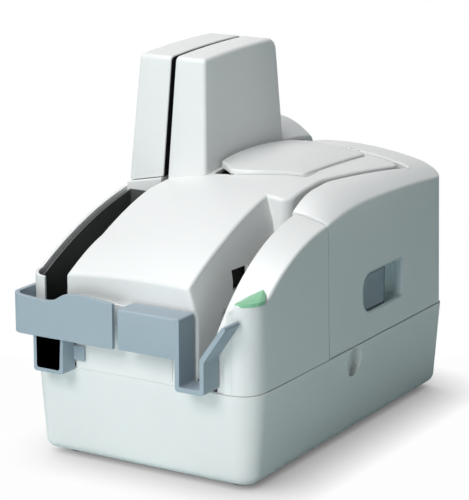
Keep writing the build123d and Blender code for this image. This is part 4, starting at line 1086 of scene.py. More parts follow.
@dataclass
class FrontHousing:
    """Right front housing: a band that leans back over a wall with a rounded front corner."""

    inner_x: float = 59.0
    split: float = -38.8
    edge: float = 1.6
    front_edge: float = 1.6
    low: float = 60.6
    inner_rise: Tuple[Tuple[float, float], ...] = (
        (-140.0, 100.5), (-101.7, 136.1), (-38.3, 159.5))
    outer_rise: Tuple[Tuple[float, float], ...] = (
        (-118.2, 121.0), (-85.0, 141.5), (-38.3, 153.4))
    ledge: float = 121.5
    ledge_run: float = 14.0
    corner: float = 16.5
    corner_from: float = 70.0
    lean_centre: Tuple[float, float] = (60.0, -100.0)
    lean_front: float = -122.0
    window_levels: Tuple[float, float] = (73.0, 99.0)
    window_run: Tuple[float, float] = (-86.0, -70.0)
    window_height: float = 24.0

    def rise(self, points: Tuple[Tuple[float, float], ...], y: np.ndarray) -> np.ndarray:
        """Height on the circle through three places, level in front of the first one."""
        curve = arc_through(points[0], points[1], points[2], 80)
        return np.interp(y, curve[:, 0], curve[:, 1])

    def top(self, x: np.ndarray, y: np.ndarray) -> np.ndarray:
        """Ruled between the inner and the outer rise, over a ledge that carries the lens.

        Args:
            x: places across the machine.
            y: places along it.

        Returns:
            The height at each place.
        """
        share = (x - self.inner_x) / (BODY.half_width - self.inner_x)
        inner, outer = self.rise(self.inner_rise, y), self.rise(self.outer_rise, y)
        near = np.clip((x - self.inner_x) / self.ledge_run, 0, 1)
        first = self.inner_rise[0][1]
        ledge = first + (self.ledge - first) * near ** 2 * (3 - 2 * near)
        return np.maximum(inner + (outer - inner) * share, ledge)

    def plan(self, side: float, front: float, rear: float) -> np.ndarray:
        """Rows from the inner wall to the outer border, whose front corner is an arc.

        Args:
            side: inset at the inner wall and the outer side.
            front: inset at the front.
            rear: inset at the rear.

        Returns:
            rows by columns by 2 points of the plan.
        """
        y0 = -BODY.half_depth + 1.1 + front
        y1 = self.split - rear
        z = self.rise(self.outer_rise, np.array((-60.0,)))[0]
        x1 = BODY.side(np.array(z)) - side
        right = rounded_path(((self.corner_from - front, y0, 0.0),
                              (x1, y0, self.corner - max(front, side)), (x1, y1, 0.0)),
                             False, 2.5, 12)
        left = np.array(((self.inner_x + side, y0), (self.inner_x + side, y1)))
        return between(stretch(left, 60), stretch(right, 60), 12)

    def build(self) -> None:
        """Make the housing's shell and open the pick rollers' windows in its inner wall."""
        inner = self.plan(self.edge, self.front_edge, 0.3)
        outer = self.plan(0.0, 0.0, 0.0)
        rim = border(outer)
        lean = outward_lean(rim, self.lean_centre, np.zeros(len(rim), dtype=bool),
                            rim[:, 1] >= self.lean_front)
        lean[rim[:, 0] <= self.inner_x + 4] = 0.0
        shell = TopShell(inner, outer, self.top, np.full(len(rim), self.low), lean)
        housing = shell.surface().build("front_housing_shell", WARM_WHITE, Body.BASE,
                                        ["front_housing"], smooth=CRISP_ANGLE)
        thicken(housing)
        cut(housing, self.windows())
        housing.data.set_sharp_from_angle(angle=math.radians(CRISP_ANGLE))

    def windows(self) -> bpy.types.Object:
        """Two openings in the inner wall for the pick rollers.

        Returns:
            Their cutter.
        """
        out = Surface()
        for z in self.window_levels:
            out.join(box_surface((self.inner_x - 2, self.inner_x + 6), self.window_run,
                                 (z, z + self.window_height)))
        return out.cutter("window_cutter")


@dataclass
class StatusLens:
    """The green lens on the housing's front top corner: level below, drawn to a tip."""

    proud: float = 0.5
    depth: float = 2.5
    lower: Tuple[Tuple[float, float, float], ...] = (
        (71.5, -137.9, 121.5), (76.5, -137.0, 121.7), (81.0, -133.8, 121.8), (84.0, -129.0, 121.8),
        (85.0, -122.5, 121.7))
    upper: Tuple[Tuple[float, float, float], ...] = (
        (66.0, -124.0, 118.8), (72.0, -119.5, 122.9), (78.6, -114.2, 126.6), (82.0, -116.4, 124.2))

    def build(self) -> None:
        """A patch ruled between the lens's lower and upper lines, swelled a little, with a rim."""
        lower = stretch(np.array(self.lower), 30)
        upper = stretch(np.array(self.upper), 30)
        across = np.linspace(0, 1, 9)[:, None, None]
        top = lower[None] + (upper - lower)[None] * across
        along = np.linspace(0, 1, 30)[None]
        swell = np.sin(np.pi * across[..., 0]) ** 0.4 * np.sin(np.pi * along) ** 0.4
        top[..., 2] += 0.15 + self.proud * swell
        under = top.copy()
        under[..., 2] -= self.depth
        lens = Surface().slab(top, under).build("status_lens_strip", LENS_GREEN, Body.BASE,
                                                ["status_lens"], solid=True)
        soften(lens, 0.2)


@dataclass(frozen=True)
class DoorHinge:
    """The upright hinge of the swing-out door: its barrels stand over fixed ones."""

    place: Tuple[float, float] = (-22.2, 137.2)
    radius: float = 2.6
    length: float = 10.0
    gap: float = 0.4
    levels: Tuple[float, float] = (76.0, 128.0)
    web_x: Tuple[float, float] = (-21.0, -17.6)
    web_y: Tuple[float, float] = (135.9, 138.4)

    def barrels(self, drop: float, web: bool = False) -> Surface:
        """One barrel at each level.

        Args:
            drop: how far below its level each one starts.
            web: True adds a block that ties each barrel to the wall beside it.

        Returns:
            The closed surfaces.
        """
        out = Surface()
        for level in self.levels:
            span = (level - drop, level - drop + self.length)
            out.join(prism(circle(self.place, self.radius, 24), span, 2))
            if web:
                out.join(box_surface(self.web_x, self.web_y, span))
        return out


DOOR_HINGE = DoorHinge()


@dataclass
class TransportCover:
    """The swing-out door: an L-shaped band of the dome, its outer wall, and the latch recess."""

    groove_x: float = 56.5
    front: float = -37.9
    slot_y: float = 108.0
    left: float = -19.2
    low: float = 61.0
    eaves: float = 20.2
    eaves_fall: float = 5.0
    dip: float = 5.7
    dip_length: float = 26.0
    edge: float = 1.3
    skirt: float = 12.0
    side: float = 84.4
    back: float = 137.6
    corner: float = 9.0
    eaves_end: float = 84.6
    dip_reach: float = 25.6
    groove_rear: Tuple[float, float] = (70.5, 105.0)
    lean_centre: Tuple[float, float] = (75.3, 128.8)

    def top(self, x: np.ndarray, y: np.ndarray) -> np.ndarray:
        """The dome, less a square-law fall over its outer band and one towards its front end.

        Args:
            x: places across the machine.
            y: places along it.

        Returns:
            The height at each place.
        """
        share = np.maximum(0.0, (x - self.eaves_end + self.eaves) / self.eaves)
        near = 1 - np.clip((y - self.front) / self.dip_length, 0, 1)
        dip = self.dip * near ** 2 * np.clip((self.eaves_end - x) / self.dip_reach, 0, 1)
        return DOME.height(x, y) - self.eaves_fall * share ** 2 - dip

    def plan(self, out_inset: float, in_inset: float, end_inset: float) -> np.ndarray:
        """Rows across the band, from the groove to the outer side, round the rear corner.

        Args:
            out_inset: inset at the outer side and the rear.
            in_inset: inset at the groove.
            end_inset: inset at both ends.

        Returns:
            rows by columns by 2 points of the plan.
        """
        x1, y1, r, g = self.side - out_inset, self.back - out_inset, self.corner, in_inset
        end, front = self.left + end_inset, self.front + end_inset
        rear_x, rear_y = self.groove_rear
        share = np.linspace(0, 1, 44)
        groove = np.column_stack(
            (np.interp(share, (0, 0.33, 1), (self.groove_x, self.groove_x + 0.7, rear_x)) + g,
             np.interp(share, (0, 0.33, 1), (front, 10.0, rear_y))))
        inner_arc = rounded_path(((rear_x + g, rear_y, 0.0),
                                  (rear_x + 0.3 + g, self.slot_y + g, 3.0),
                                  (rear_x - 3.0, self.slot_y + g, 0.0)), False, r, 10)
        slot = np.column_stack((np.linspace(rear_x - 4.0, end, 30), np.full(30, self.slot_y + g)))
        side = np.column_stack((np.full(44, x1), np.linspace(front, y1 - r, 44)))
        outer_arc = rounded_path(((x1, y1 - r, 0.0), (x1, y1, max(0.8, r - out_inset)),
                                  (x1 - r, y1, 0.0)), False, r, 10)
        rear = np.column_stack((np.linspace(x1 - r - 0.6, end, 30), np.full(30, y1)))
        return between(np.concatenate((groove, inner_arc, slot)),
                       np.concatenate((side, stretch(outer_arc, len(inner_arc)), rear)), 24)

    def build(self) -> None:
        """Make the door's shell, open the recess in its wall and set the recess pan in."""
        inner = self.plan(self.edge, self.edge, 0.3)
        outer = self.plan(0.0, 0.0, 0.0)
        rim = border(outer)
        outside = (rim[:, 0] > 84.0) | (rim[:, 1] > 137.5) | ((rim[:, 0] > 74) & (rim[:, 1] > 127))
        low = self.top(rim[:, 0], rim[:, 1]) - self.skirt
        low[outside] = self.low
        centre_x, centre_y = self.lean_centre
        lean = outward_lean(rim, self.lean_centre, rim[:, 0] < centre_x, rim[:, 1] < centre_y)
        lean[~outside] = 0.0
        shell = TopShell(inner, outer, self.top, low, lean)
        door = shell.surface().build("transport_cover_shell", WARM_WHITE, Body.DOOR,
                                     ["transport_cover"], smooth=CRISP_ANGLE)
        thicken(door)
        latch = LatchRecess()
        cut(door, latch.cutter())
        door.data.set_sharp_from_angle(angle=math.radians(CRISP_ANGLE))
        latch.build()
        knuckles = DOOR_HINGE.barrels(0.0, web=True)
        knuckles.build("door_knuckles", WARM_WHITE, Body.DOOR, solid=True)


@dataclass
class LatchRecess:
    """The recess in the door's wall and the pull pad in it."""

    front: float = 10.0
    rear: float = 72.0
    low: float = 79.0
    high: float = 109.0
    floor_x: float = 77.5
    front_round: float = 12.0
    rear_round: float = 4.0
    pad_rear: float = 47.5
    pad_face: float = 84.6
    pad_thickness: float = 3.0
    pad_hollow: float = 0.9
    fillet: float = 1.6
    gap: float = 1.9
    edge_shade_gap: float = 0.4
    edge_shade_face: float = 83.2
    edge_shade_past: float = 0.8

    def outline(self, inset: float, rear: float) -> np.ndarray:
        """The recess's outline as y, z: rounded at its front end, squarer at its rear.

        Args:
            inset: how far it is drawn in.
            rear: y of its rear end.

        Returns:
            n by 2 points.
        """
        big, small = self.front_round - inset, max(0.5, self.rear_round - inset)
        return rounded_path(((self.front + inset, self.low + inset, big),
                             (rear - inset, self.low + inset, small),
                             (rear - inset, self.high - inset, small),
                             (self.front + inset, self.high - inset, big)), True, BARE, 10)

    def ring(self, x: float, inset: float, rear: float) -> np.ndarray:
        """The outline, drawn in by inset, set at x."""
        outline = self.outline(inset, rear)
        return np.column_stack((np.full(len(outline), x), outline))

    def cutter(self) -> bpy.types.Object:
        """A block through the wall on the recess's outline."""
        return prism(self.outline(0.0, self.rear), (70.0, 95.0), 0).cutter("recess_cutter")

    def build(self) -> None:
        """Make the pan, its wall rounded into its floor, the dark bed that paints shade in the gap
        round the pad, and the pad.
        """
        mouth = self.outline(0.0, self.rear)
        face = BODY.side(mouth[:, 1]) - 0.15
        rows = [np.column_stack((face, mouth)),
                np.column_stack((face - 1.0, self.outline(0.02, self.rear)))]
        for turn in np.radians((0, 30, 60, 90)):
            rows.append(self.ring(self.floor_x + self.fillet * (1 - math.sin(turn)),
                                  0.05 + self.fillet * (1 - math.cos(turn)), self.rear))
        out = Surface()
        out.grid(np.stack(rows), wrap=True, flip=True)
        out.cap(rows[-1])
        # The pan takes the darker grey that paints the recess's shade.
        thicken(out.build("latch_recess_pan", PAN_PAINTED_SHADE, Body.DOOR), 1.2)
        # A near-black bed behind the pad: painted shade in the gap round it.
        bed = prism(self.outline(0.15, self.pad_rear + 1.2),
                    (self.floor_x - 0.2, self.floor_x + 0.8), 0)
        bed.build("latch_gap_painted_shade", PAINTED_SHADE_BLACK, Body.DOOR, solid=True)
        self.pad()

    def pad(self) -> None:
        """The pad on its skirt, a dark plate that paints the shade round the pad's edge: a rounded
        plate, hollowed a little towards its middle.
        """
        back = self.pad_face - self.pad_thickness
        # A near-black skirt under the pad: painted shade along its edge.
        skirt = prism(self.outline(self.edge_shade_gap, self.pad_rear + self.edge_shade_past),
                      (back, self.edge_shade_face), 0)
        skirt.build("latch_pad_painted_shade", PAINTED_SHADE_BLACK, Body.LATCH, solid=True)
        rows = [self.ring(back, self.gap, self.pad_rear)]
        for turn in np.radians((0, 25, 50, 75, 90)):
            rows.append(self.ring(self.pad_face - self.fillet * (1 - math.sin(turn)),
                                  self.gap + self.fillet * (1 - math.cos(turn)), self.pad_rear))
        middle = self.outline(self.gap, self.pad_rear).mean(axis=0)
        for share in (0.93, 0.85, 0.7, 0.5, 0.3, 0.12):
            ring = middle + (rows[5][:, 1:] - middle) * share
            x = self.pad_face - self.pad_hollow * (1 - share ** 4)
            rows.append(np.column_stack((np.full(len(ring), x), ring)))
        Surface().closed(np.stack(rows)).build("latch_pull_pad", LATCH_GREY, Body.LATCH,
                                               ["latch_pad"], solid=True)


@dataclass
class LeftCover:
    """Outer wall of the exit pocket, and the sloped block under the tower."""

    front: float = -138.8
    rear: float = 92.0
    pocket_end: float = -24.0
    low: float = 60.6
    side: float = -86.4
    tip: float = -75.2
    knee: Tuple[float, float] = (-127.5, 122.3)
    knee_slope: float = 3.0 / 17.5
    middle: Tuple[float, float] = (-76.0, 145.5)
    top: Tuple[float, float] = (-24.0, 159.0)
    block_low: float = 162.0
    block_slope: float = 0.2
    block_right: float = -57.8
    ear_levels: Tuple[float, float] = (88.0, 103.5)
    ear_height: float = 2.5

    def build(self) -> None:
        """Make the wall along its plan path, the block, and the gate's two ears."""
        path = rounded_path(((self.tip, self.front, 0.0), (self.side, self.front, 10.0),
                             (self.side, self.pocket_end + 0.4, 0.0)), False, 2.0, 10)
        curve = arc_through(self.knee, self.middle, self.top, 60)
        y = path[:, 1]
        rise = np.interp(y, curve[:, 0], curve[:, 1])
        level = self.knee[1] + (y - self.knee[0]) * self.knee_slope
        high = np.where(y < self.knee[0], level, rise)
        share = np.array((0.0, 0.01, 0.1, 0.3, 0.5, 0.7, 0.9, 0.985, 1.0))[:, None]
        z = self.low + (high - self.low) * share
        out = Surface()
        out.grid(np.concatenate((np.repeat(path[None], len(share), 0), z[..., None]), -1))
        wall = out.build("left_pocket_wall", WARM_WHITE, Body.BASE, smooth=CRISP_ANGLE)
        thicken(wall)
        soften(wall, 0.7, 3, 50.0)
        self.block()
        self.ears()

    def block(self) -> None:
        """The block under the tower: upright walls and a top that slopes up to the slot."""
        def plan(inset: float) -> np.ndarray:
            """A grid over the block's rectangle.

            Args:
                inset: how far it is drawn in.

            Returns:
                rows by columns by 2 points of the plan.
            """
            x = np.linspace(self.side + inset, self.block_right - inset, 8)
            y = np.linspace(self.pocket_end + inset, self.rear - inset, 40)
            return np.stack(np.meshgrid(x, y), -1)

        def top(x: np.ndarray, y: np.ndarray) -> np.ndarray:
            """A plane that rises to the right by the block's slope."""
            return self.block_low + self.block_slope * (x + BODY.half_width) + 0 * y

        inner, outer = plan(0.8), plan(0.0)
        shell = TopShell(inner, outer, top, np.full(len(border(outer)), self.low))
        thicken(shell.surface().build("left_tower_base", WARM_WHITE, Body.BASE, ["left_cover"],
                                      smooth=CRISP_ANGLE))

    def ears(self) -> None:
        """Two small ears that hold the gate's pin beside the wall."""
        outline = rounded_path(((-91.3, -124.1, 1.9), (-85.6, -124.1, 0.0),
                                (-85.6, -119.9, 0.0), (-91.3, -119.9, 1.9)), True, BARE, 6)
        out = Surface()
        for z in self.ear_levels:
            out.join(prism(outline, (z, z + self.ear_height), 2))
        soften(out.build("gate_ears", WARM_WHITE, Body.BASE, solid=True), 0.3)


@dataclass
class RearLeftCover:
    """The hump behind the tower: a ridge that falls to both sides and to the rear."""

    height: float = 192.0
    ridge_x: float = -56.0
    left_fall: float = 15.0
    right_fall: float = 14.0
    rear_fall: float = 5.0
    front: float = 92.4
    back: float = 137.1
    left: float = -84.0
    right: float = -25.2
    low: float = 60.6
    corner: float = 9.0
    lean_centre: Tuple[float, float] = (-75.0, 128.4)

    def top(self, x: np.ndarray, y: np.ndarray) -> np.ndarray:
        """Ridge height less a square-law fall to each side and to the rear.

        Args:
            x: places across the machine.
            y: places along it.

        Returns:
            The height at each place.
        """
        left = x < self.ridge_x
        fall = np.where(left, self.left_fall, self.right_fall)
        reach = np.where(left, BODY.half_width + self.ridge_x, self.right - self.ridge_x)
        back = self.rear_fall * ((y - self.front) / (BODY.half_depth - self.front)) ** 2
        return self.height - back - fall * ((x - self.ridge_x) / reach) ** 2

    def plan(self, side: float, rear: float, near: float) -> np.ndarray:
        """Rows from the left side to the right end; the rear left corner is an arc.

        Args:
            side: inset at the left side.
            rear: inset at the rear.
            near: inset at the front and the right end.

        Returns:
            rows by columns by 2 points of the plan.
        """
        x0, y1 = self.left + side, self.back - rear
        left = rounded_path(((x0, self.front + near, 0.0), (x0, y1, max(1.0, self.corner - side)),
                             (x0 + 12, y1, 0.0)), False, 2.0, 10)
        right = np.array(((self.right - near, self.front + near), (self.right - near, y1)))
        return between(stretch(left, 36), stretch(right, 36), 18)

    def build(self) -> None:
        """Make the hump's shell with its rounded shoulders, and the fixed hinge knuckles."""
        inner, outer = self.plan(5.0, 4.0, 0.5), self.plan(0.0, 0.0, 0.0)
        rim = border(outer)
        centre_x, centre_y = self.lean_centre
        lean = outward_lean(rim, self.lean_centre, rim[:, 0] > centre_x, rim[:, 1] < centre_y)
        shell = TopShell(inner, outer, self.top, np.full(len(rim), self.low), lean)
        cover = shell.surface().build("rear_left_shell", WARM_WHITE, Body.BASE,
                                      ["rear_left_cover"], smooth=CRISP_ANGLE)
        thicken(cover)
        knuckles = DOOR_HINGE.barrels(DOOR_HINGE.length + DOOR_HINGE.gap)
        knuckles.build("fixed_knuckles", WARM_WHITE, Body.BASE, solid=True)


@dataclass
class TowerHalf:
    """One half of the tower: its side outline carried across between two leaning sides."""

    name: str
    node: str
    body: Body
    left: Tuple[float, float]
    right: Tuple[float, float]
    left_edge: float
    right_edge: float
    front: float = -22.0
    rear: float = 90.0
    lean_front: float = 6.0
    lean_rear: float = 7.0
    top_front: float = 253.2
    top_middle: float = 255.7
    top_rear: float = 255.9
    high: float = 260.0
    low: float = 165.0
    foot_end: float = 140.0
    base: float = 162.8
    base_slope: float = 0.2
    crown_y: float = 31.0
    slot_shade_inset: float = 1.0
    slot_shade_depth: float = 0.5
    slot_shade_sink: float = 0.4

    def outline(self, inset: float) -> np.ndarray:
        """Side outline as y, z: arched top, rounded top corners.

        Args:
            inset: how far it is drawn in.

        Returns:
            n by 2 points, open at the foot.
        """
        f, r = self.front + inset, self.rear - inset
        start = (f + self.lean_front, self.top_front - inset)
        end = (r - self.lean_rear, self.top_rear - inset)
        arch = arc_through(start, (self.crown_y, self.top_middle - inset), end, 20)[1:-1]
        front_round, rear_round = max(0.8, 4.0 - inset), max(1.0, 10.0 - inset)
        front = rounded_path(((f, self.foot_end, 0.0), (f, self.low, 0.0), (*start, front_round),
                              (*arch[2], 0.0)), False, BARE, 8)
        back = rounded_path(((*arch[-4], 0.0), (*end, rear_round), (r, self.low, 0.0),
                             (r, self.foot_end, 0.0)), False, BARE, 12)
        return np.concatenate((front, arch[3:-4], back))

    def side(self, ends: Tuple[float, float], z: np.ndarray) -> np.ndarray:
        """X of a leaning side at a height."""
        return ends[0] + (ends[1] - ends[0]) * (z - self.base) / (self.high - self.base)

    def build(self) -> None:
        """Make the half with rounded edges, then cut its foot to what it stands on."""
        rows: List[np.ndarray] = []
        for turn in np.radians((90, 68, 45, 22, 0)):
            ring = self.outline(self.left_edge * (1 - math.cos(turn)))
            x = self.side(self.left, ring[:, 1]) + self.left_edge * (1 - math.sin(turn))
            rows.append(np.column_stack((x, ring)))
        for turn in np.radians((0, 22, 45, 68, 90)):
            ring = self.outline(self.right_edge * (1 - math.cos(turn)))
            x = self.side(self.right, ring[:, 1]) - self.right_edge * (1 - math.sin(turn))
            rows.append(np.column_stack((x, ring)))
        half = Surface().closed(np.stack(rows)).build(self.name, WARM_WHITE, self.body,
                                                      [self.node], solid=True)
        cut(half, self.foot())
        shade(half.data, 28.0)
        self.painted_slot_shade()

    def painted_slot_shade(self) -> None:
        """A thin dark plate on the face towards the card slot: painted shade in the narrow slot.
        """
        ring = self.outline(self.slot_shade_inset)
        if self.body is Body.TOWER:
            near = self.side(self.right, ring[:, 1])
            span = (near - self.slot_shade_sink, near + self.slot_shade_depth)
        else:
            near = self.side(self.left, ring[:, 1])
            span = (near - self.slot_shade_depth, near + self.slot_shade_sink)
        rows = np.stack([np.column_stack((x, ring)) for x in span])
        plate = Surface().closed(rows).build(f"{self.name}_slot_painted_shade", PAINTED_SHADE_BLACK, self.body,
                                             solid=True)
        cut(plate, self.foot())

    def foot(self) -> bpy.types.Object:
        """Cutter below the half: a sloped block, or the dome.

        Returns:
            The cutter.
        """
        if self.body is Body.TOWER:
            left, right, low = -120.0, -40.0, 100.0
            outline = np.array(((left, low), (right, low),
                                (right, self.base + self.base_slope * (right + BODY.half_width)),
                                (left, self.base + self.base_slope * (left + BODY.half_width))))
            return prism(outline, (-60.0, 120.0), 1).cutter("foot_cutter")
        x, y = np.meshgrid(np.linspace(-70, -10, 20), np.linspace(-50, 110, 40))
        top = np.stack((x, y, DOME.height(x, y) + 0.05), -1)
        under = np.stack((x, y, np.full_like(x, 100.0)), -1)
        return Surface().slab(top, under).cutter("foot_cutter")


@dataclass
class CartridgeLid:
    """The raised lid: a corner cut off for a finger, the front edge swept back to the right."""

    left: float = -20.5
    right: float = 42.0
    front: float = -16.5
    middle: Tuple[float, float] = (10.0, -15.0)
    front_right: float = 5.0
    cut_off: Tuple[float, float] = (15.5, 13.5)
    rear: float = 97.0
    edge: float = 1.8
    swell: float = 5.2
    swell_y: float = 40.0
    swell_reach: float = 75.0
    corner: float = 5.0
    barrel: Tuple[float, float] = (-8.8, 28.8)
    pin_y: float = 99.0
    pin_sink: float = 0.4

    def top(self, x: np.ndarray, y: np.ndarray) -> np.ndarray:
        """The dome raised by an edge and by a swell that grows to the left and mid-length.

        Args:
            x: places across the machine.
            y: places along it.

        Returns:
            The height at each place.
        """
        share = (self.right - x) / (self.right - self.left)
        rise = self.swell * share * (1 - ((y - self.swell_y) / self.swell_reach) ** 2)
        return DOME.height(x, y) + self.edge + rise

    def plan(self, inset: float) -> np.ndarray:
        """Rows across the lid, from the cut-off corner's border to the swept front edge's one.

        Args:
            inset: how far the border is drawn in.

        Returns:
            rows by columns by 2 points of the plan.
        """
        x0, x1 = self.left + inset, self.right - inset
        y0, y1, near = self.front + inset, self.rear - inset, inset * 0.5
        radius = max(0.8, self.corner - inset)
        right = rounded_path(((x0 + self.cut_off[0] - near, y0, 0.0),
                              (self.middle[0], self.middle[1] + inset, 40.0),
                              (x1, self.front_right + inset, radius), (x1, y1, radius),
                              (x1 - 12, y1, 0.0)), False, 2.5, 8)
        left = rounded_path(((x0 + self.cut_off[0] - near, y0, 0.0),
                             (x0, self.front + self.cut_off[1] + near, radius),
                             (x0, y1, radius), (x0 + 12, y1, 0.0)), False, 2.5, 8)
        return between(stretch(left, 90), stretch(right, 90), 26)

    def build(self) -> None:
        """Make the lid's shell down to the deck, its hinge barrel and strap."""
        inner, outer = self.plan(1.5), self.plan(0.0)
        rim = border(outer)
        low = DOME.height(rim[:, 0], rim[:, 1]) + 0.25
        shell = TopShell(inner, outer, self.top, low)
        lid = shell.surface().build("cartridge_lid_shell", LID_WHITE, Body.LID, ["cartridge_lid"],
                                    smooth=CRISP_ANGLE)
        thicken(lid, 1.5)
        middle = (self.left + self.right) / 2
        pin_z = float(DOME.height(np.array(middle), np.array(self.pin_y))) - self.pin_sink
        barrel = prism(circle((self.pin_y, pin_z), 1.75, 20), self.barrel, 0)
        barrel.join(box_surface(self.barrel, (95.6, self.pin_y), (pin_z + 0.9, pin_z + 1.7)))
        barrel.build("lid_barrel", LID_WHITE, Body.LID, solid=True)


@dataclass
class Guides:
    """Blue-grey guides at the front: the bar with its feed U, the exit U, and the stop gate."""

    plate: float = 3.3
    front: float = -158.7
    back: float = -140.2
    bar: Tuple[float, float, float] = (-5.0, 84.5, 112.0)
    feed: Tuple[float, float] = (38.9, 60.8)
    feed_low: float = 63.5
    flare: Tuple[float, float, float] = (86.0, 77.5, 110.5)
    exit: Tuple[float, float] = (-75.7, -51.7)
    exit_low: float = 58.5
    exit_high: float = 104.0
    gate_end: float = -9.0
    gate_side: float = -91.4
    gate_low: float = 84.0
    gate_high: Tuple[Tuple[float, float], ...] = (
        (-91.4, 111.4), (-86.0, 111.0), (-68.0, 109.6), (-61.0, 109.6), (-56.0, 110.5),
        (-49.0, 114.8), (-44.0, 116.4), (-36.0, 117.0), (-30.0, 116.6), (-9.0, 114.6))
    pin: Tuple[float, float] = (-89.3, -122.0)
    barrel: Tuple[float, float] = (90.9, 103.1)

    def build(self) -> None:
        """Make the three pieces."""
        self.feed_guide()
        self.exit_guide()
        self.stop_gate()

    def feed_guide(self) -> None:
        """Bar with its ledge, joined to a U whose right leg flares out."""
        p, (x0, low, high) = self.plate, self.bar
        left, right = self.feed
        bend, tip_x, tip_z = self.flare
        section = rounded_path(((self.front, low, 0.8), (self.front + p, low, 0.8),
                                (self.front + p, high - p, 1.6), (self.back, high - p, 0.0),
                                (self.back, high, 0.0), (self.front, high, 1.6)), True, BARE, 5)
        bar = prism(section, (x0, left + 1.0), 0)
        piece = bar.build("feed_bar", GUIDE_GREY, Body.BASE, solid=True)
        soften(piece, 0.6, 3, 50.0)
        outline = rounded_path(((left, self.feed_low, 2.2), (right, self.feed_low, 2.2),
                                (right, bend, 5.0), (tip_x, tip_z, 1.5),
                                (tip_x - 0.9 * p, tip_z + 1.4, 1.5), (right - p, bend + 1.5, 5.0),
                                (right - p, self.feed_low + p, 1.2),
                                (left + p, self.feed_low + p, 1.2), (left + p, high, 1.4),
                                (left, high, 0.4)), True, BARE, 5)
        frame = prism(outline, (self.front, self.back), 1)
        piece = frame.build("feed_guide_frame", GUIDE_GREY, Body.BASE, ["front_guide"], solid=True)
        soften(piece, 0.7, 3, 50.0)

    def exit_guide(self) -> None:
        """A plain U under the gate, and its fixing tab on the front panel."""
        p = self.plate
        left, right = self.exit
        outline = rounded_path(((left, self.exit_low, 2.0), (right, self.exit_low, 2.0),
                                (right, self.exit_high, 0.6), (right - p, self.exit_high, 0.6),
                                (right - p, self.exit_low + p, 1.2),
                                (left + p, self.exit_low + p, 1.2),
                                (left + p, self.exit_high, 0.6), (left, self.exit_high, 0.6)),
                               True, BARE, 5)
        frame = prism(outline, (self.front + p + 0.5, self.back), 1)
        piece = frame.build("exit_guide_u", GUIDE_GREY, Body.BASE, ["exit_guide_frame"],
                            solid=True)
        soften(piece, 0.7, 3, 50.0)
        tab = box_surface((right - 1.0, -43.3), (self.back - 2.0, self.back), (66.0, 76.5))
        piece = tab.build("exit_guide_tab", GUIDE_GREY, Body.BASE, solid=True)
        soften(piece, 0.7, 3)

    def stop_gate(self) -> None:
        """A strap along a rounded plan path; its upper edge dips and steps up to the right."""
        end, side = self.gate_end, self.gate_side
        path = rounded_path(((end, self.front, 0.0), (side, self.front, 9.0),
                             (side, self.pin[1] - 3.1, 0.0)), False, 1.5, 14)
        places, heights = np.array(self.gate_high).T
        high = np.interp(path[:, 0], places, heights)
        share = np.array((0.0, 0.02, 0.15, 0.35, 0.65, 0.85, 0.98, 1.0))[:, None]
        z = self.gate_low + (high - self.gate_low) * share
        out = Surface()
        out.grid(np.concatenate((np.repeat(path[None], len(share), 0), z[..., None]), -1),
                 flip=True)
        strap = out.build("stop_gate_strap", GUIDE_GREY, Body.GATE, ["stop_gate"],
                          smooth=CRISP_ANGLE)
        thicken(strap, self.plate)
        soften(strap, 1.0, 3, 50.0)
        barrel = prism(circle(self.pin, 2.05, 24), self.barrel, 2)
        barrel.join(box_surface((side + 0.1, self.pin[0]), (self.pin[1] - 4.0, self.pin[1]),
                                self.barrel))
        barrel.build("gate_barrel", GUIDE_GREY, Body.GATE, solid=True)


@dataclass
class PlainPieces:
    """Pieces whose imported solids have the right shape: copied, smoothed and given a finish."""

    def build(self, nodes: Dict[str, bpy.types.Object],
              bodies: Dict[str, List[str]]) -> None:
        """Dress each of them.

        Args:
            nodes: the frame's nodes by name.
            bodies: the nodes of each body.
        """
        owner = {node: Body(body) for body, names in bodies.items() for node in names}
        plan: Tuple[Tuple[Finish, float, str], ...] = (
            (INNER_DARK, 0.0, "main_chassis"),
            (CASING_WHITE, 0.4, "front_panel"),
            (LINER_DARK, 0.3, "pocket_liner"),
            (INNER_DARK, 0.0, "path_floor inner_path_guide outer_path_guide left_path_guide"),
            (INNER_DARK, 0.2, "roller_bridge cartridge_holder ink_cartridge feed_flipper"),
            (INNER_DARK, 0.3, "inner_image_sensor outer_image_sensor"),
            (STEEL, 0.0, "chassis_screws door_pins transport_hinge_pins lid_hinge_pin"),
            (STEEL, 0.0, "tower_hinge_pin gate_hinge_pin left_pinch_pin flipper_pin"),
            (STEEL, 0.0, "left_drive_shaft right_drive_shaft pick_shaft shaft_bushes"),
            (STEEL, 0.0, "main_motor feed_motor magnetic_head board_standoffs"),
            (RUBBER, 0.4, "feet left_drive_rollers right_drive_rollers pick_rollers"),
            (RUBBER, 0.3, "left_pinch_rollers right_pinch_rollers drive_belt"),
            (BOARD_GREEN, 0.0, "main_board"),
            (SENSOR_GLASS, 0.0, "inner_sensor_glass outer_sensor_glass"),
            (SWITCH_BLACK, 0.3, "switch_frame power_rocker power_inlet data_socket"),
            (SWITCH_BLACK, 0.2, "left_pulley right_pulley motor_pulley"),
        )
        for finish, rounding, names in plan:
            for name in names.split():
                copied(nodes[name], f"{name}_dressed", finish, owner[name], rounding)


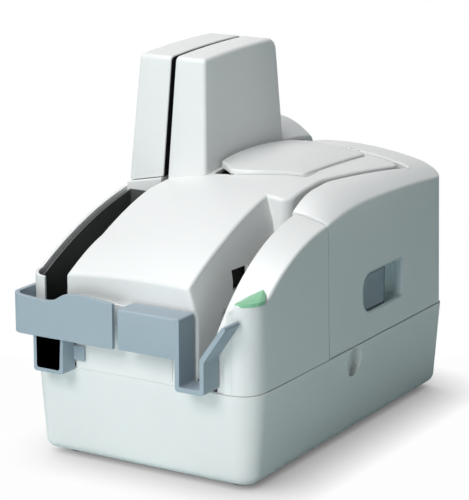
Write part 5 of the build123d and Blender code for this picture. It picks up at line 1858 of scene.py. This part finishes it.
# ---- studio ----
@dataclass
class Studio:
    """Camera, lamps, world and floor. Places and sizes here are in metres."""

    eye: Tuple[float, float, float] = (0.76205, -1.27095, 0.5033)
    azimuth: float = 31.07
    elevation: float = 14.31
    lens: float = 156.72
    floor_half: float = 4.0
    floor_edge: float = 0.150
    floor_colour: Tuple[float, float, float] = (0.64, 0.78, 0.78)
    floor_seen: Tuple[float, float, float] = (0.985, 0.985, 0.985)
    shade_reach: float = 0.045
    shade_power: float = 0.8
    shade_lean: Tuple[float, float, float] = (-0.50, -0.20, 0.843)
    middle: Tuple[float, float, float] = (0.0, 0.0, 0.1)
    fill: float = 0.060
    cool_fill: Tuple[float, float, float] = (0.70, 0.92, 1.0)

    def build(self) -> None:
        """Set up everything round the object."""
        self.camera()
        self.world()
        self.floor()
        self.lamps()
        bpy.context.scene.view_settings.view_transform = "Standard"

    def camera(self) -> None:
        """The camera: its axis leans down by the elevation and turns by the azimuth."""
        data = bpy.data.cameras.new("camera")
        data.lens = self.lens
        data.sensor_width = 36.0
        data.clip_start = 0.05
        data.clip_end = 50.0
        camera = bpy.data.objects.new("camera", data)
        camera.location = self.eye
        camera.rotation_euler = (math.radians(90 - self.elevation), 0.0,
                                 math.radians(self.azimuth))
        bpy.context.scene.collection.objects.link(camera)
        bpy.context.scene.camera = camera

    def world(self) -> None:
        """White where it is seen, a soft cool fill for the light."""
        world = bpy.data.worlds.new("studio_world")
        bpy.context.scene.world = world
        world.use_nodes = True
        nodes, links = world.node_tree.nodes, world.node_tree.links
        back = nodes["Background"]
        path = nodes.new("ShaderNodeLightPath")
        seen, both = maths(nodes, "MAXIMUM"), maths(nodes, "MAXIMUM")
        mix = colour_mix(nodes, [self.fill * c for c in self.cool_fill], WHITE)
        links.new(path.outputs["Is Camera Ray"], both.inputs[0])
        links.new(path.outputs["Is Transmission Ray"], both.inputs[1])
        links.new(both.outputs[0], seen.inputs[0])
        links.new(path.outputs["Is Glossy Ray"], seen.inputs[1])
        links.new(seen.outputs[0], mix.inputs["Factor"])
        links.new(mix.outputs["Result"], back.inputs["Color"])
        back.inputs["Strength"].default_value = 1.0

    def floor(self) -> None:
        """A pale floor: a painted shadow darkens it close round the object, and it is white past a
        straight line.
        """
        half = self.floor_half
        points = ((-half, -half, 0), (half, -half, 0), (half, half, 0), (-half, half, 0))
        mesh = bpy.data.meshes.new("studio_floor")
        mesh.from_pydata(points, [], [(0, 1, 2, 3)])
        floor = bpy.data.objects.new("studio_floor", mesh)
        bpy.context.scene.collection.objects.link(floor)
        material = bpy.data.materials.new("pale_floor")
        material.use_nodes = True
        nodes, links = material.node_tree.nodes, material.node_tree.links
        shader = nodes["Principled BSDF"]
        shader.inputs["Base Color"].default_value = (*self.floor_colour, 1.0)
        shader.inputs["Roughness"].default_value = 0.9
        shader.inputs["Specular IOR Level"].default_value = 0.1
        place = nodes.new("ShaderNodeTexCoord")
        turn = math.radians(self.azimuth)
        away = nodes.new("ShaderNodeVectorMath")
        away.operation = "DOT_PRODUCT"
        away.inputs[1].default_value = (-math.sin(turn), math.cos(turn), 0.0)
        past = maths(nodes, "GREATER_THAN", self.floor_edge)
        tint = colour_mix(nodes, self.floor_seen, WHITE)
        # Painted shadow: ambient occlusion, with its normal leant, darkens the glowing floor near
        # the object.
        near = nodes.new("ShaderNodeAmbientOcclusion")
        near.samples = 16
        near.inputs["Distance"].default_value = self.shade_reach
        facing = nodes.new("ShaderNodeCombineXYZ")
        for axis, value in zip("XYZ", self.shade_lean):
            facing.inputs[axis].default_value = value
        links.new(facing.outputs["Vector"], near.inputs["Normal"])
        deep = maths(nodes, "POWER", self.shade_power)
        light = nodes.new("ShaderNodeEmission")
        path = nodes.new("ShaderNodeLightPath")
        blend = nodes.new("ShaderNodeMixShader")
        links.new(place.outputs["Object"], away.inputs[0])
        links.new(away.outputs["Value"], past.inputs[0])
        links.new(past.outputs[0], tint.inputs["Factor"])
        links.new(tint.outputs["Result"], light.inputs["Color"])
        links.new(near.outputs["AO"], deep.inputs[0])
        links.new(deep.outputs[0], light.inputs["Strength"])
        links.new(path.outputs["Is Camera Ray"], blend.inputs["Fac"])
        links.new(shader.outputs["BSDF"], blend.inputs[1])
        links.new(light.outputs["Emission"], blend.inputs[2])
        links.new(blend.outputs["Shader"], nodes["Material Output"].inputs["Surface"])
        mesh.materials.append(material)

    def lamps(self) -> None:
        """A large key from the front, a low one for the casing, a top light and an accent."""
        self.panel("key_front", (0.0, -2.1, 1.60), 1.0, 31.0)
        self.panel("low_front", (0.16, -0.95, 0.10), 0.35, 2.4)
        self.panel("top", (-0.55, -0.3, 2.3), 0.8, 29.0)
        self.spot("tower_accent", (1.3, -0.2, 0.75), (-0.01, 0.04, 0.235), 9.0, 13.0)

    def panel(self, name: str, place: Tuple[float, float, float], size: float,
              power: float) -> None:
        """A square soft lamp that faces the object's middle.

        Args:
            name: the lamp's name.
            place: where it stands, in metres.
            size: its side in metres.
            power: its power in watts.
        """
        data = bpy.data.lights.new(name, "AREA")
        data.shape = "SQUARE"
        data.size = size
        self.hang(data, power, place, self.middle)

    def spot(self, name: str, place: Tuple[float, float, float],
             aim: Tuple[float, float, float], cone: float, power: float) -> None:
        """A soft-edged spotlight.

        Args:
            name: the lamp's name.
            place: where it stands, in metres.
            aim: what it points at, in metres.
            cone: the full angle of its cone in degrees.
            power: its power in watts.
        """
        data = bpy.data.lights.new(name, "SPOT")
        data.spot_size = math.radians(cone)
        data.spot_blend = 1.0
        data.shadow_soft_size = 0.08
        self.hang(data, power, place, aim)

    def hang(self, data: bpy.types.Light, power: float, place: Tuple[float, float, float],
             aim: Tuple[float, float, float]) -> None:
        """Hang a lamp at a place and turn it towards its aim.

        Args:
            data: the lamp's data.
            power: its power in watts.
            place: where it stands, in metres.
            aim: what it points at, in metres.
        """
        data.energy = power
        lamp = bpy.data.objects.new(data.name, data)
        bpy.context.scene.collection.objects.link(lamp)
        way = np.array(aim) - np.array(place)
        lamp.location = place
        lamp.rotation_euler = (math.atan2(math.hypot(way[0], way[1]), -way[2]), 0.0,
                               math.atan2(way[1], way[0]) - math.pi / 2)


def main() -> None:
    """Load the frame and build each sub-assembly in order."""
    logging.basicConfig(level=logging.INFO, format="%(name)s: %(message)s")
    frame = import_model()
    Studio().build()
    LowerCasing().build()
    CentreCover().build()
    FrontHousing().build()
    StatusLens().build()
    TransportCover().build()
    LeftCover().build()
    RearLeftCover().build()
    TowerHalf("tower_outer_shell", "tower_outer_cover", Body.TOWER, (-86.5, -79.8),
              (-57.8, -53.4), 3.2, 1.2).build()
    TowerHalf("tower_inner_shell", "tower_inner_cover", Body.BASE, (-53.8, -49.6),
              (-22.2, -26.5), 1.2, 2.6).build()
    CartridgeLid().build()
    Guides().build()
    PlainPieces().build(frame["nodes"], frame["record"]["behaviour"]["bodies"])


if __name__ == "__main__":
    main()
